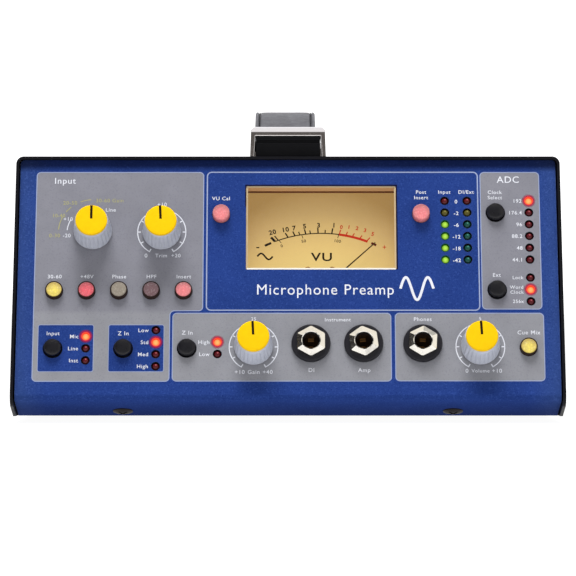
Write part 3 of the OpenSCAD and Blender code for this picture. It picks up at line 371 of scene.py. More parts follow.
def lens(name, colour, dark, bright, strength, dim):
    """Clear plastic over a lamp, with a prism pattern that breaks up the light."""
    look = Look(name, colour, 0.3, IOR=1.35)
    prisms = look.cells(1.1)
    light = look.spread(prisms, 1.12, 0.78, 0.1, 0.65)
    look.clouds(0.5, 0.08).speckle(1.6, srgb(250, 246, 240), 0.16, 0.55).uneven(0.9, 0.05)
    look.bump(prisms, 0.12, 0.6)
    look.glow(dark, bright, strength, dim, light)
    return look


lens_yellow = lens("lens_yellow", srgb(176, 156, 92), srgb(206, 164, 80), srgb(255, 236, 92), 0.63, 0.14)
lens_red = lens("lens_red", srgb(172, 92, 98), srgb(214, 84, 92), srgb(252, 80, 98), 0.60, 0.14)
lens_pink = lens("lens_pink", srgb(186, 118, 120), srgb(216, 122, 122), srgb(252, 118, 124), 0.57, 0.12)
# the two unlit lenses: their faint glow is painted light
lens_khaki = lens("lens_khaki", srgb(156, 146, 132), srgb(90, 84, 66), srgb(120, 112, 96), 0.12, 0.02)
lens_dark = lens("lens_dark", srgb(120, 96, 100), srgb(70, 34, 40), srgb(126, 62, 66), 0.14, 0.02)


def diode(name, colour, dark, bright, strength, dim=0.0):
    look = Look(name, colour, 0.1, IOR=1.36)
    look.clouds(0.8, 0.12).uneven(1.2, 0.04).grain(5, 0.004, 0.3)
    look.glow(dark, bright, strength, dim)
    return look


# unlit diodes: their glow is painted light, with a painted glint in the bright colour
led_red_off = diode("led_red_off", srgb(86, 6, 18), srgb(24, 1, 4), srgb(216, 120, 124), 0.5)
led_red_on = diode("led_red_on", srgb(226, 84, 44), srgb(238, 62, 48), srgb(255, 176, 98), 1.12, 0.8)
led_green_off = diode("led_green_off", srgb(10, 76, 66), srgb(4, 26, 22), srgb(110, 190, 178), 0.4)
led_green_on = diode("led_green_on", srgb(90, 140, 40), srgb(60, 130, 24), srgb(184, 224, 72), 0.95, 0.25)
led_yellow_off = diode("led_yellow_off", srgb(92, 86, 32), srgb(30, 28, 8), srgb(180, 172, 110), 0.35)


def halo_look():
    """Painted light that spills on the panel round a lit diode; clear at its outer edge."""
    look = Look("halo_red", srgb(60, 10, 20), 0.5)
    look.clouds(0.8, 0.1).uneven(0.9, 0.05).grain(5, 0.003, 0.2)
    look.glow(srgb(190, 30, 90), srgb(240, 56, 96), 0.7, 0.5)
    glow = look.add("ShaderNodeAttribute", attribute_name="glow").outputs["Fac"]
    look.join(look.spread(glow, 0.0, 0.62, 0, 1), look.shader.inputs["Alpha"])
    return look


halo_red = halo_look()
nickel = metal("nickel", srgb(226, 222, 214), 0.14, depth=0.003)
nickel.worn_edges(srgb(255, 252, 246), 0.15, 0.7)
chrome = cap_chrome()
dark_steel = metal("dark_steel", srgb(92, 92, 98), 0.36)
black_screw = plastic("black_screw", srgb(30, 22, 22), 0.5, 0.006)
washer_black = plastic("washer_black", srgb(38, 37, 43), 0.36, 0.01, IOR=1.3)
washer_black.worn_edges(srgb(84, 84, 90), 0.2, 0.5)
brass = metal("brass", srgb(214, 178, 96), 0.24)
# brass contacts with painted light: they glow deep in the dark bores
contact_brass_painted_glow = metal("contact_brass_painted_glow", srgb(150, 110, 66), 0.4).lit(srgb(120, 84, 50), 0.12)
socket_black = plastic("socket_black", srgb(30, 30, 34), 0.34, 0.008).worn_edges(srgb(70, 70, 74), 0.25, 0.5)
rubber = plastic("rubber", srgb(38, 38, 41), 0.72, 0.02)
plate_metal = metal("plate_metal", srgb(196, 196, 200), 0.3, (1, 12, 12))
latch_metal = metal("latch_metal", srgb(205, 205, 210), 0.26)
rocker_red = plastic("rocker_red", srgb(172, 30, 36), 0.3, 0.006)
board_green = Look("board_green", srgb(24, 92, 52), 0.28)
board_green.clouds(0.08, 0.15).speckle(0.35, srgb(60, 130, 84), 0.7, 0.58)
board_green.uneven(0.5, 0.08).grain(2, 0.02, 0.4)
tape = plastic("winding_tape", srgb(206, 166, 52), 0.35, 0.03)
tape.grain(0.4, 0.3, 0.8, (1, 1, 0.1))
sleeve = plastic("capacitor_sleeve", srgb(30, 52, 92), 0.3, 0.01)
cast = metal("sink_aluminium", srgb(170, 170, 175), 0.42, (1, 1, 8))
ribbon = plastic("ribbon_grey", srgb(150, 152, 158), 0.5, 0.01)
ribbon.grain(0.8, 0.5, 0.8, (1, 0.01, 0.01))
meter_black = plastic("meter_black", srgb(34, 34, 38), 0.4)
pot_blue = plastic("pot_blue", srgb(48, 70, 116), 0.4)

glass = Look("meter_glass", (0.02, 0.02, 0.025, 1), 0.06, Alpha=0.06, IOR=1.45)
glass.clouds(0.08, 0.2).uneven(0.25, 0.04).grain(0.5, 0.002, 0.1)
# the clear lens's edge round the window, with its light painted in as a bright cream
frame_painted_light = plastic("frame_painted_light", srgb(214, 190, 150), 0.22, 0.004)
# inner walls of the meter's case: painted lamplight, amber and glowing
wall_painted_lamplight = plastic("wall_painted_lamplight", srgb(190, 150, 96), 0.4).lit(srgb(184, 140, 100), 0.5)
seam_brown = plastic("seam_brown", srgb(128, 74, 44), 0.4)
# painted highlight: a white strip for the lit lower edge of the clear lens
sill_painted_highlight = plastic("sill_painted_highlight", srgb(262, 256, 246), 0.3)

# the black leatherette is given a grey colour: its sheen is painted in
leather = Look("strap_leatherette", srgb(92, 92, 98), 0.5, IOR=1.4)
leather.clouds(0.2, 0.18).uneven(0.4, 0.10)
leather.bump(leather.cells(1.4, (1.0, 0.7, 1.0), "DISTANCE_TO_EDGE"), 0.12, 0.75).grain(0.5, 0.2, 0.35)
leather.worn_edges(srgb(112, 112, 118), 0.6, 0.5)
strap_black = plastic("strap_core", srgb(20, 20, 23), 0.5, 0.02)
thread = plastic("strap_thread", srgb(32, 32, 36), 0.6, 0.03)


def dial_look():
    """Backlit paper dial: bright low in the middle, darker towards its top corners."""
    look = Look("dial_paper", srgb(216, 184, 116), 0.6)
    across = look.along(X, WINDOW_MID[0] - 34, WINDOW_MID[0] + 34, -1, 1)
    shade = look.maths("MULTIPLY_ADD", look.maths("MULTIPLY", across, across), 0.42, look.along(UP, 56, 96))
    fibres = look.maths("MULTIPLY_ADD", look.noise(0.5, 4), 0.08, shade)
    ramp = look.add("ShaderNodeValToRGB")
    stops = ((0.0, srgb(244, 214, 134)), (0.35, srgb(228, 194, 122)),
             (0.7, srgb(200, 166, 108)), (1.0, srgb(176, 140, 84)))
    ramp.color_ramp.elements.remove(ramp.color_ramp.elements[1])
    for i, (place, tone) in enumerate(stops):
        stop = ramp.color_ramp.elements[0] if i == 0 else ramp.color_ramp.elements.new(place)
        stop.position = place
        stop.color = tone
    look.join(fibres, ramp.inputs["Fac"])
    look.lit(ramp.outputs["Color"], 0.80)
    look.paint(look.mix(0.75, ramp.outputs["Color"], (0.02, 0.012, 0.004, 1)))
    return look.uneven(0.6, 0.05).grain(2.5, 0.01, 0.3)


# ---------------------------------------------------------------- mesh building
def placed(name, data):
    """New object in the scene."""
    item = bpy.data.objects.new(name, data)
    bpy.context.scene.collection.objects.link(item)
    return item


class Shape:
    """Collects closed forms in one mesh, in row-frame metres."""

    def __init__(self):
        self.bm = bmesh.new()
        self.glow = self.bm.verts.layers.float.new("glow")

    def vert(self, matrix, x, y, z, glow=0.0):
        v = self.bm.verts.new(matrix @ Vector((x, y, z)))
        v[self.glow] = glow
        return v

    def face(self, verts):
        self.bm.faces.new(verts).smooth = True

    def bridge(self, low, high):
        """Band of faces between two loops; a loop of one point is the tip of a cone."""
        count = max(len(low), len(high))
        for i in range(count if len(low) + len(high) > 2 else 0):
            j = (i + 1) % count
            if len(low) == 1:
                self.face((low[0], high[j], high[i]))
            elif len(high) == 1:
                self.face((low[i], low[j], high[0]))
            else:
                self.face((low[i], low[j], high[j], high[i]))

    def skin(self, loops, ring=False, ends=False):
        """Faces through all the loops in turn, which may close on the first or have flat ends."""
        for low, high in list(zip(loops, loops[1:])) + ([(loops[-1], loops[0])] if ring else []):
            self.bridge(low, high)
        if ends:
            self.face(list(reversed(loops[0])))
            self.face(loops[-1])
        return self

    def lathe(self, matrix, profile, segments=48, ring=False, radius=None, height=None, glow=None):
        """Turns a profile of (radius, height) about local Z. A ring profile closes on itself."""
        loops = []
        for r, z in profile:
            loop = []
            for i in range(segments if r > 1e-6 else 1):
                a = 2 * math.pi * i / segments
                q = radius(r, z, a) if radius and r > 1e-6 else r
                h = height(q, z, a) if height and r > 1e-6 else z
                shine = glow(r, z, a) if glow else 0
                loop.append(self.vert(matrix, q * math.cos(a), q * math.sin(a), h, shine))
            loops.append(loop)
        return self.skin(loops, ring)

    def prism(self, matrix, outline, low, high):
        """Closed prism over an outline that runs anticlockwise."""
        return self.skin([[self.vert(matrix, x, y, z) for x, y in outline] for z in (low, high)], ends=True)

    def tube(self, points, radius, sides):
        """Round bar along points given in row-frame metres; radius in metres."""
        loops = []
        for i, p in enumerate(points):
            ahead = points[min(i + 1, len(points) - 1)] - points[max(i - 1, 0)]
            side = ahead.cross(X if abs(ahead.normalized().x) < 0.9 else Z).normalized()
            other = ahead.cross(side).normalized()
            loops.append([self.bm.verts.new(p + (side * math.cos(a) + other * math.sin(a)) * radius)
                          for a in (2 * math.pi * k / sides for k in range(sides))])
        return self.skin(loops, ends=True)

    def take(self, mesh, matrix):
        """Adds another mesh's faces."""
        verts = [self.bm.verts.new(matrix @ v.co) for v in mesh.vertices]
        for p in mesh.polygons:
            try:
                self.face([verts[i] for i in p.vertices])
            except ValueError:    # a letter's outline can give the same face twice
                continue

    def done(self, name, body, look, replaces=(), slot=None, sharp=32, bevel=0.0):
        bmesh.ops.recalc_face_normals(self.bm, faces=self.bm.faces)
        for e in self.bm.edges:
            if len(e.link_faces) == 2:
                e.smooth = e.calc_face_angle(0) < math.radians(sharp)
        mesh = bpy.data.meshes.new(name)
        self.bm.to_mesh(mesh)
        self.bm.free()
        mesh.materials.append(look.material)
        piece = placed(name, mesh)
        if bevel:
            add_bevel(piece, bevel)
        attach(piece, body)
        if replaces:
            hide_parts(*replaces)


def add_bevel(piece, width_mm, angle=40):
    bevel = piece.modifiers.new("edge", "BEVEL")
    bevel.width = width_mm * MM
    bevel.segments = 2
    bevel.limit_method = "ANGLE"
    bevel.angle_limit = math.radians(angle)
    bevel.harden_normals = False
    bevel.use_clamp_overlap = True


def arc(cx, cy, r, start, end, steps):
    """Points along an arc; angles in degrees."""
    turns = (math.radians(start + (end - start) * i / steps) for i in range(steps + 1))
    return [(cx + r * math.cos(a), cy + r * math.sin(a)) for a in turns]


def disc(cx, cy, r):
    return arc(cx, cy, r, 0, 360, 40)[:-1]


def oblong(u0, u1, v0, v1):
    return [(u0, v0), (u1, v0), (u1, v1), (u0, v1)]


def rounded(u0, u1, v0, v1, r, steps=7):
    return (arc(u1 - r, v0 + r, r, -90, 0, steps) + arc(u1 - r, v1 - r, r, 0, 90, steps)
            + arc(u0 + r, v1 - r, r, 90, 180, steps) + arc(u0 + r, v0 + r, r, 180, 270, steps))


def grown(outline, by):
    """The outline moved outwards by a distance; it runs anticlockwise."""
    moved = []
    for i, p in enumerate(outline):
        a, b = Vector(outline[i - 1]), Vector(outline[(i + 1) % len(outline)])
        way = (b - a).normalized()
        moved.append((p[0] + way.y * by, p[1] - way.x * by))
    return moved


def curve_mesh(loops, thick):
    """Flat plate with holes from closed loops, as a mesh in millimetres."""
    data = bpy.data.curves.new("print", "CURVE")
    data.dimensions = "2D"
    data.fill_mode = "BOTH"
    data.extrude = thick / 2
    for loop in loops:
        spline = data.splines.new("POLY")
        spline.points.add(len(loop) - 1)
        for point, (x, y) in zip(spline.points, loop):
            point.co = (x, y, 0, 1)
        spline.use_cyclic_u = True
    return evaluated(data)


def evaluated(data):
    """The mesh that a curve or a text makes."""
    holder = placed("temporary", data)
    bpy.context.view_layer.update()
    graph = bpy.context.evaluated_depsgraph_get()
    mesh = bpy.data.meshes.new_from_object(holder.evaluated_get(graph))
    bpy.data.objects.remove(holder)
    return mesh


CAP_SHARE = 0.682    # height of a capital letter in the built-in font, at size 1


def text_mesh(words, cap_height, align, narrow, bold):
    data = bpy.data.curves.new("label", "FONT")
    data.body = words
    data.size = cap_height / CAP_SHARE
    data.align_x = {"l": "LEFT", "c": "CENTER", "r": "RIGHT"}[align]
    data.extrude = 0.01
    data.offset = bold
    data.space_character = 1.12
    data.resolution_u = 4
    mesh = evaluated(data)
    mesh.transform(Matrix.Diagonal((narrow, 1, 1, 1)))
    return mesh


def stroke(points, width):
    """Outline of a line of even width through points."""
    left, right = [], []
    for i, p in enumerate(points):
        a = Vector(points[max(i - 1, 0)])
        b = Vector(points[min(i + 1, len(points) - 1)])
        way = (b - a).normalized()
        side = Vector((-way.y, way.x)) * width / 2
        left.append((p[0] + side.x, p[1] + side.y))
        right.append((p[0] - side.x, p[1] - side.y))
    return right + list(reversed(left))


class Print:
    """Ink on a plane of the panel: plates, strokes and words at one height."""

    def __init__(self, w, thick=0.03):
        self.shape = Shape()
        self.w = w
        self.thick = thick

    def plate(self, *loops):
        self.shape.take(curve_mesh(loops, self.thick), on_panel(0, 0, self.w + self.thick / 2))
        return self

    def line(self, points, width):
        return self.plate(stroke(points, width))

    def words(self, text, u, v, cap, align="c", turn=0, bold=0.012, narrow=1.02):
        mesh = text_mesh(text, cap, align, narrow, bold)
        down = Matrix.Translation((0, -cap / 2, 0))
        self.shape.take(mesh, on_panel(u, v, self.w + self.thick / 2, turn) @ down)
        return self

    def done(self, name, look, body="root", slot=None):
        return self.shape.done(name, body, look, slot=slot, sharp=20)


# ---------------------------------------------------------------- the panel's layout, in mm
KNOBS = {name: joint_spot(name + "_turn") for name in ("range", "trim", "gain", "volume")}
BUTTONS = {j["child"]: node_spot(j["child"]) for j in frame["joints"] if j["name"].endswith("_press")
           and j["child"].endswith("_button")}
BLACK_BUTTONS = ("input_button", "impedance_button", "instrument_button", "rate_button", "clock_button")
LIT_HOLE_R = 3.6
BLACK_HOLE_R = 3.95
JACK_V = 23.5
JACKS = ((9.15, JACK_V), (30.1, JACK_V), (53.6, JACK_V))
WASHER_R = 7.8
LED_PITCH = 5.06
LED_R = 1.45
LED_HOLE_R = 1.8


def column(u, top, count):
    return [(u, top - i * LED_PITCH) for i in range(count)]


METER_U = (63.2, 72.2)
METER_V = 84.6
RATES = column(97.1, METER_V, 6)
CLOCKS = column(97.1, 51.6, 3)
SOURCES = column(-80.5, 26.7, 3)
LOADS = column(-52.6, 29.3, 4)
GUITAR_LOADS = column(-28.1, 24.3, 2)
RED_ON = [SOURCES[0], LOADS[1], GUITAR_LOADS[0], RATES[0], CLOCKS[1]]
RED_OFF = [p for p in SOURCES + LOADS + GUITAR_LOADS + RATES + CLOCKS + [(u, METER_V) for u in METER_U]
           if p not in RED_ON]
YELLOW_OFF = [(u, METER_V - LED_PITCH) for u in METER_U]
GREEN_ON = column(METER_U[0], METER_V - 2 * LED_PITCH, 4)
GREEN_OFF = column(METER_U[1], METER_V - 2 * LED_PITCH, 4)

WINDOW_MID = (13.35, 73.05)
WINDOW = (60.5, 36.1)
DIAL_W = -8.0        # height of the dial's face: it lies behind the panel's

CORNER = 1.8
INPUT_AREA = (arc(-47.0 - CORNER, 7.6 + CORNER, CORNER, -90, 0, 7)
              + arc(-47.0 + CORNER, 37.3 - CORNER, CORNER, 180, 90, 7)
              + arc(-33.9 - CORNER, 37.3 + CORNER, CORNER, -90, 0, 7)
              + arc(-33.9 - CORNER, 97.1 - CORNER, CORNER, 0, 90, 7)
              + arc(-101.7 + CORNER, 97.1 - CORNER, CORNER, 90, 180, 7)
              + arc(-101.7 + CORNER, 7.6 + CORNER, CORNER, 180, 270, 7))
INSTRUMENT_AREA = rounded(-46.1, 41.2, 7.7, 36.6, CORNER)
PHONES_AREA = rounded(42.6, 102.1, 7.8, 36.6, CORNER)
CONVERTER_AREA = rounded(77.5, 101.6, 38.0, 97.1, CORNER)
METER_AREA = rounded(-32.6, 76.6, 37.7, 97.0, CORNER)
BLUE_BOXES = (rounded(-99.5, -77.4, 11.8, 31.5, 0.8), rounded(-71.4, -49.4, 11.8, 31.5, 0.8))


def inside(outline, p):
    """True if p lies in the outline's box; enough for this panel's areas."""
    us, vs = [q[0] for q in outline], [q[1] for q in outline]
    return min(us) < p[0] < max(us) and min(vs) < p[1] < max(vs)


def holes_in(outline, skip=()):
    """Clear rings in a printed area round everything that comes through it."""
    spots = [(p, 3.7) for p in KNOBS.values()] + [(p, WASHER_R - 0.6) for p in JACKS]
    spots += [(p, BLACK_HOLE_R if n in BLACK_BUTTONS else LIT_HOLE_R) for n, p in BUTTONS.items()]
    spots += [(p, LED_HOLE_R) for p in RED_ON + RED_OFF]
    return [disc(p[0], p[1], r + 0.02) for p, r in spots
            if inside(outline, p) and not any(inside(s, p) for s in skip)]


def printed_areas():
    areas = Print(0.0, 0.03)
    instrument_side = rounded(-46.9, -33.9, 7.6, 37.2, 0.5)
    areas.plate(INPUT_AREA, *BLUE_BOXES, *holes_in(INPUT_AREA, BLUE_BOXES + (instrument_side,)))
    areas.plate(INSTRUMENT_AREA, *holes_in(INSTRUMENT_AREA))
    areas.plate(PHONES_AREA, *holes_in(PHONES_AREA))
    areas.plate(CONVERTER_AREA, *holes_in(CONVERTER_AREA))
    areas.done("print_grey_areas", print_grey)
    borders = Print(0.031, 0.012)
    for outline in (INPUT_AREA, INSTRUMENT_AREA, PHONES_AREA, CONVERTER_AREA):
        borders.plate(outline, grown(outline, -0.35))
    borders.plate(grown(METER_AREA, 0.25), grown(METER_AREA, -0.25))
    for outline in BLUE_BOXES:
        borders.plate(grown(outline, 0.12), grown(outline, -0.12))
    borders.done("print_borders", print_line)


RING_R = 9.7
TICK = 1.3


def knob_rings():
    rings = Print(0.031, 0.012)
    for name in ("trim", "gain", "volume"):
        u, v = KNOBS[name]
        rings.line(arc(u, v, RING_R, -60, 240, 64), 0.38)
        for i in range(11):
            a = math.radians(-60 + 30 * i)
            inner, outer = RING_R - TICK, RING_R + 0.2
            rings.line([(u + inner * math.cos(a), v + inner * math.sin(a)),
                        (u + outer * math.cos(a), v + outer * math.sin(a))], 0.44)
    u, v = KNOBS["range"]
    for start, end in ((149, 176), (112, 124)):
        rings.line(arc(u, v, 10.4, start, end, 10), 0.38)
    rings.done("print_rings", print_white)
    straw = Print(0.031, 0.012)
    for start, end in ((152, 176), (130, 142), (94, 112)):
        straw.line(arc(u, v, 13.9, start, end, 10), 0.3)
    straw.words("0-30", -93.9, 69.6, 1.5, bold=0).words("10-40", -92.4, 78.2, 1.5, bold=0, narrow=0.92)
    straw.words("20-50", -87.9, 83.7, 1.5, bold=0).words("30-60 Gain", -77.6, 84.7, 1.5, "l", bold=0)
    straw.done("print_range_labels", print_straw)


def labels():
    """Plain words and numbers beside the controls: where, how tall, and aligned if not centred."""
    ink = Print(0.031, 0.014)
    for text, u, v, cap, *align in (
            ("Input", -94.5, 93.3, 2.5, "l"), ("ADC", 89.0, 93.8, 2.7),
            ("Instrument", 19.8, 33.7, 1.4), ("Phones", 53.7, 33.9, 1.5),
            ("Cue Mix", 95.9, 28.3, 1.6), ("VU Cal", -27.0, 85.6, 1.5),
            ("Post", 53.7, 88.4, 1.45), ("Insert", 53.7, 86.0, 1.45),
            ("Input", 63.1, 88.4, 1.45), ("DI/Ext", 71.9, 88.4, 1.45),
            ("Clock", 83.5, 88.3, 1.45), ("Select", 83.5, 86.0, 1.45),
            ("Ext", 83.6, 52.7, 1.5),
            ("-20", -89.0, 69.6, 1.5), ("+10", -88.6, 76.7, 1.5), ("Line", -73.6, 80.7, 1.5, "l"),
            ("+10", -50.8, 83.0, 1.5), ("0", -57.0, 61.0, 1.6), ("Trim", -50.9, 61.0, 1.5),
            ("+20", -45.0, 61.0, 1.5),
            ("25", -13.7, 34.0, 1.3), ("+10", -19.2, 11.7, 1.6), ("Gain", -13.6, 11.7, 1.6),
            ("+40", -8.1, 11.7, 1.6),
            ("5", 76.6, 34.1, 1.4), ("0", 71.0, 12.2, 1.6), ("Volume", 76.4, 12.2, 1.4),
            ("+10", 82.9, 12.2, 1.6),
            ("DI", 9.3, 12.5, 1.6), ("Amp", 30.3, 12.5, 1.6),
            ("Input", -93.6, 27.9, 1.5), ("Z In", -65.6, 27.9, 1.6),
            ("Z In", -40.1, 28.2, 1.6)):
        ink.words(text, u, v, cap, *align)
    for text, button in (("30-60", "gain"), ("+48V", "phantom"), ("Phase", "phase"), ("HPF", "filter"),
                         ("Insert", "insert")):
        ink.words(text, BUTTONS[button + "_button"][0], 52.0, 1.5)
    for spots, texts, gap in (
            (SOURCES, ("Mic", "Line", "Inst"), 2.9), (LOADS, ("Low", "Std", "Med", "High"), 2.9),
            (GUITAR_LOADS, ("High", "Low"), 3.1), (RATES, ("192", "176.4", "96", "88.2", "48", "44.1"), 2.8)):
        for (u, v), text in zip(spots, texts):
            ink.words(text, u - gap, v - 0.1, 1.5, "r")
    for text, v in (("Lock", CLOCKS[0][1]), ("Word", CLOCKS[1][1] + 0.95), ("Clock", CLOCKS[1][1] - 1.15),
                    ("256x", CLOCKS[2][1])):
        ink.words(text, 94.2, v, 1.35, "r")
    for (u, v), text in zip(column(67.8, METER_V - 0.35, 6), ("0", "-2", "-6", "-12", "-18", "-42")):
        ink.words(text, u, v, 1.5, bold=0.03)
    ink.words("Microphone Preamp", -12.8, 46.5, 4.3, "l", bold=0.0, narrow=0.95)
    wave = [(45.0 + 13.2 * i / 60, 46.9 + 4.8 * math.sin(2 * math.pi * 1.5 * i / 60)) for i in range(61)]
    ink.line(wave, 1.05)
    ink.done("print_labels", print_white)


# ---------------------------------------------------------------- controls
SKIRT_R = 7.75
FLUTES = 24
KNOB_TURN = 3          # degrees to the left of upright, of the three knobs with a scale
POINTER_HALF = 0.48


def knob(name):
    """Fluted, tapering knob with a domed yellow cap and an inlaid pointer."""
    body = name + "_knob"
    place = on_panel(*KNOBS[name], 0, 0 if name == "range" else KNOB_TURN)
    top = node_height(name + "_cap")
    seat = top - 1.4

    def fluted(r, z, a):
        share = max(0.0, min(1.0, (seat - 0.6 - z) / 1.6)) * max(0.0, min(1.0, (z - 0.7) / 0.8))
        dip = (0.5 - 0.5 * math.cos(FLUTES * a)) ** 2.2
        return r - (0.5 if r > 6 else 0) * share * dip * (0.55 + 0.45 * (seat - z) / seat)

    outside = [(SKIRT_R - 1.2, 0.9), (SKIRT_R - 1.1, 0.55), (SKIRT_R - 0.3, 0.5), (SKIRT_R - 0.05, 0.7),
               (SKIRT_R, 1.2), (SKIRT_R - 0.02, 2.2)]
    shares = [i / 10 for i in range(1, 11)]
    outside += [(SKIRT_R - 0.05 - 0.95 * t ** 0.85, 2.2 + (seat - 3.0) * t) for t in shares]
    outside += [(6.62, seat - 0.45), (6.5, seat - 0.2), (6.2, seat), (0, seat)]
    skirt = Shape().lathe(place, [(0, 1.6), (SKIRT_R - 1.4, 1.6)] + outside, FLUTES * 8, radius=fluted)
    skirt.done(body + "_moulding", body, knob_grey, [body], "knob_grey", 30)

    cap = [(0, seat + 0.02), (6.25, seat + 0.02), (6.36, seat + 0.2), (6.4, seat + 0.75)]
    cap += [(5.9 + 0.5 * math.cos(a), top - 0.62 + 0.5 * math.sin(a)) for a in (0.0, 0.4, 0.8, 1.2)]
    cap += [(5.75, top - 0.10), (4.0, top - 0.06), (2.0, top - 0.03), (0, top - 0.02)]
    disc_cap = Shape().lathe(place, cap, 96)
    disc_cap.done(name + "_cap_disc", body, cap_yellow, [name + "_cap"], "cap_yellow", 40)
    pointer = Shape().prism(place, oblong(-POINTER_HALF, POINTER_HALF, 0.5, 6.1), top - 0.30, top - 0.005)
    pointer.prism(place, oblong(-POINTER_HALF, POINTER_HALF, 5.6, 6.38), top - 1.15, top - 0.35)
    pointer.done(name + "_pointer", body, pointer_ink, slot="needle_black")


def cylinder_top(r, top, edge, low, ring_r, dish):
    """Profile of a cylindrical button: a round edge, a ring groove and a flat middle."""
    points = [(0, low), (r - 0.15, low), (r, low + 0.15)] + arc(r - edge, top - edge, edge, 0, 90, 6)
    points += [(ring_r + 0.2, top), (ring_r, top + dish), (ring_r - 0.25, top + dish * 0.6)]
    points += [(ring_r * k / 8, top + dish * 0.5 * (1 - (1 - k / 8) ** 2)) for k in range(7, 0, -1)]
    return points + [(0, top)]


def domed_top(r, top, edge, rise):
    """Profile of a button whose face swells to its middle behind a soft edge."""
    rim = top - rise
    points = [(0, -1.4), (r - 0.15, -1.4), (r, -1.25)] + arc(r - edge, rim - edge, edge, 0, 70, 7)
    face_r, face_z = points[-1]
    points += [(face_r * k / 8, face_z + (top - face_z) * (1 - (k / 8) ** 2)) for k in range(7, 0, -1)]
    return points + [(0, top)]


LIT_R = 3.1
BARE_R = 3.42
BEZEL_R = 3.5
BLACK_R = 3.5
BARE_BUTTONS = ("meter_button", "post_button")
BUTTON_LOOKS = {"gain_button": (lens_yellow, "lens_yellow"), "phantom_button": (lens_red, "lens_red"),
                "phase_button": (lens_khaki, "lens_clear"), "filter_button": (lens_dark, "lens_dark_red"),
                "insert_button": (lens_pink, "lens_red"), "meter_button": (lens_pink, "lens_red"),
                "post_button": (lens_pink, "lens_red"), "cue_button": (lens_yellow, "lens_yellow")}


def button(name):
    place = on_panel(*BUTTONS[name])
    top = node_height(name)
    if name in BLACK_BUTTONS:
        look, slot = button_black, "button_black"
        profile = domed_top(BLACK_R, top - 0.05, 1.1, 0.4)
        sleeve = (BLACK_R + 0.22, BLACK_HOLE_R - 0.02)
    else:
        look, slot = BUTTON_LOOKS[name]
        radius = BARE_R if name in BARE_BUTTONS else LIT_R
        top -= 0 if name in BARE_BUTTONS else 0.6
        profile = cylinder_top(radius, top - 0.05, 0.5, -1.4, radius - 0.8, -0.06)
        sleeve = (BEZEL_R + 0.03, LIT_HOLE_R - 0.02)
        if name not in BARE_BUTTONS:
            rim = [(LIT_R + 0.02, -1.4), (BEZEL_R, -1.4), (BEZEL_R, top - 0.4), (BEZEL_R - 0.12, top - 0.18),
                   (LIT_R + 0.02, top - 0.14)]
            bezel = Shape().lathe(place, rim, 64, ring=True)
            bezel.done(name + "_bezel", name, bezel_brown, slot="button_black")
    # painted shade: a black lining in the hole stands for the shade of the gap round the button
    hole = Shape().lathe(place, oblong(*sleeve, -1.45, 0.06), 64, ring=True)
    hole.done(name + "_sleeve", "root", sleeve_black_and_painted_shade, slot="switch_grey")

    def glow(r, z, a):
        off = math.hypot(r * math.cos(a), r * math.sin(a) + 0.9)
        return max(0.0, 1 - (off / (LIT_R + 0.7)) ** 2.6) * max(0.0, min(1.0, (z - 1) / 1.6))

    Shape().lathe(place, profile, 64, glow=glow).done(name + "_lens", name, look, [name], slot, 50)


def lit_part(r, a):
    """Glow of a diode: strongest a little below its middle, fading to its rim."""
    off = math.hypot(r * math.cos(a), r * math.sin(a) + 0.3)
    return max(0.0, 1 - (off / (LED_R + 0.3)) ** 1.5)


def unlit_painted_glint(r, a):
    """Painted light of an unlit diode: a faint painted glow in its body, and a painted glint in a small spot
    above its middle.
    """
    spot = math.hypot(r * math.cos(a) - 0.15, r * math.sin(a) - 0.45)
    return 1.0 if spot < 0.32 else 0.25 * lit_part(r, a)


def diodes(name, spots, look, node=None, slot=None, part=lit_part):
    shape = Shape()
    barrel = LED_R - 0.02
    profile = [(0, -2.6), (LED_R + 0.25, -2.6), (LED_R + 0.25, -1.7), (barrel, -1.65), (barrel, -1.0)]
    profile += [(barrel * math.cos(a), -1.0 + 1.2 * math.sin(a))
                for a in (math.radians(12 * i) for i in range(1, 7))]
    profile += [(0.25, 0.185), (0, 0.2)]
    for u, v in spots:
        shape.lathe(on_panel(u, v), profile, 28, glow=lambda r, z, a: part(r, a) if z > -0.9 else 0.0)
    shape.done(name, "root", look, [node] if node else (), slot, 50)


def all_diodes():
    diodes("leds_red_unlit", RED_OFF, led_red_off, "leds_red", "led_red", unlit_painted_glint)
    diodes("leds_red_lit", RED_ON, led_red_on, slot="led_red")
    diodes("leds_green_unlit", GREEN_OFF, led_green_off, "leds_green", "led_green", unlit_painted_glint)
    diodes("leds_green_lit", GREEN_ON, led_green_on, slot="led_green")
    diodes("leds_yellow_unlit", YELLOW_OFF, led_yellow_off, "leds_yellow", "led_yellow", unlit_painted_glint)
    # the diodes' black holders also stand for the shade in their holes
    wall = LED_HOLE_R - 0.02
    collar = [(LED_R + 0.02, -1.45), (wall, -1.45), (wall, 0.06), (LED_R + 0.06, 0.06)]
    # the holders round lit diodes carry painted green and red glow
    for name, look, spots in (("led_holders", sleeve_black_and_painted_shade, RED_OFF + GREEN_OFF + YELLOW_OFF),
                              ("led_holders_painted_green_glow", holder_painted_green_glow, GREEN_ON),
                              ("led_holders_painted_red_glow", holder_painted_red_glow, RED_ON)):
        holders = Shape()
        for u, v in spots:
            holders.lathe(on_panel(u, v), collar, 32, ring=True)
        holders.done(name, "root", look, slot="switch_grey")
    # painted pools of light on the panel round the lit diodes
    halos = Shape()
    inner, outer = LED_HOLE_R + 0.02, 2.9
    for u, v in RED_ON:
        halos.lathe(on_panel(u, v), [(inner, 0.045), (outer, 0.045), (outer, 0.055), (inner, 0.06)],
                    32, ring=True, glow=lambda r, z, a: 1.0 if r < 2 else 0.0)
    halos.done("led_halos", "root", halo_red, slot="led_red")


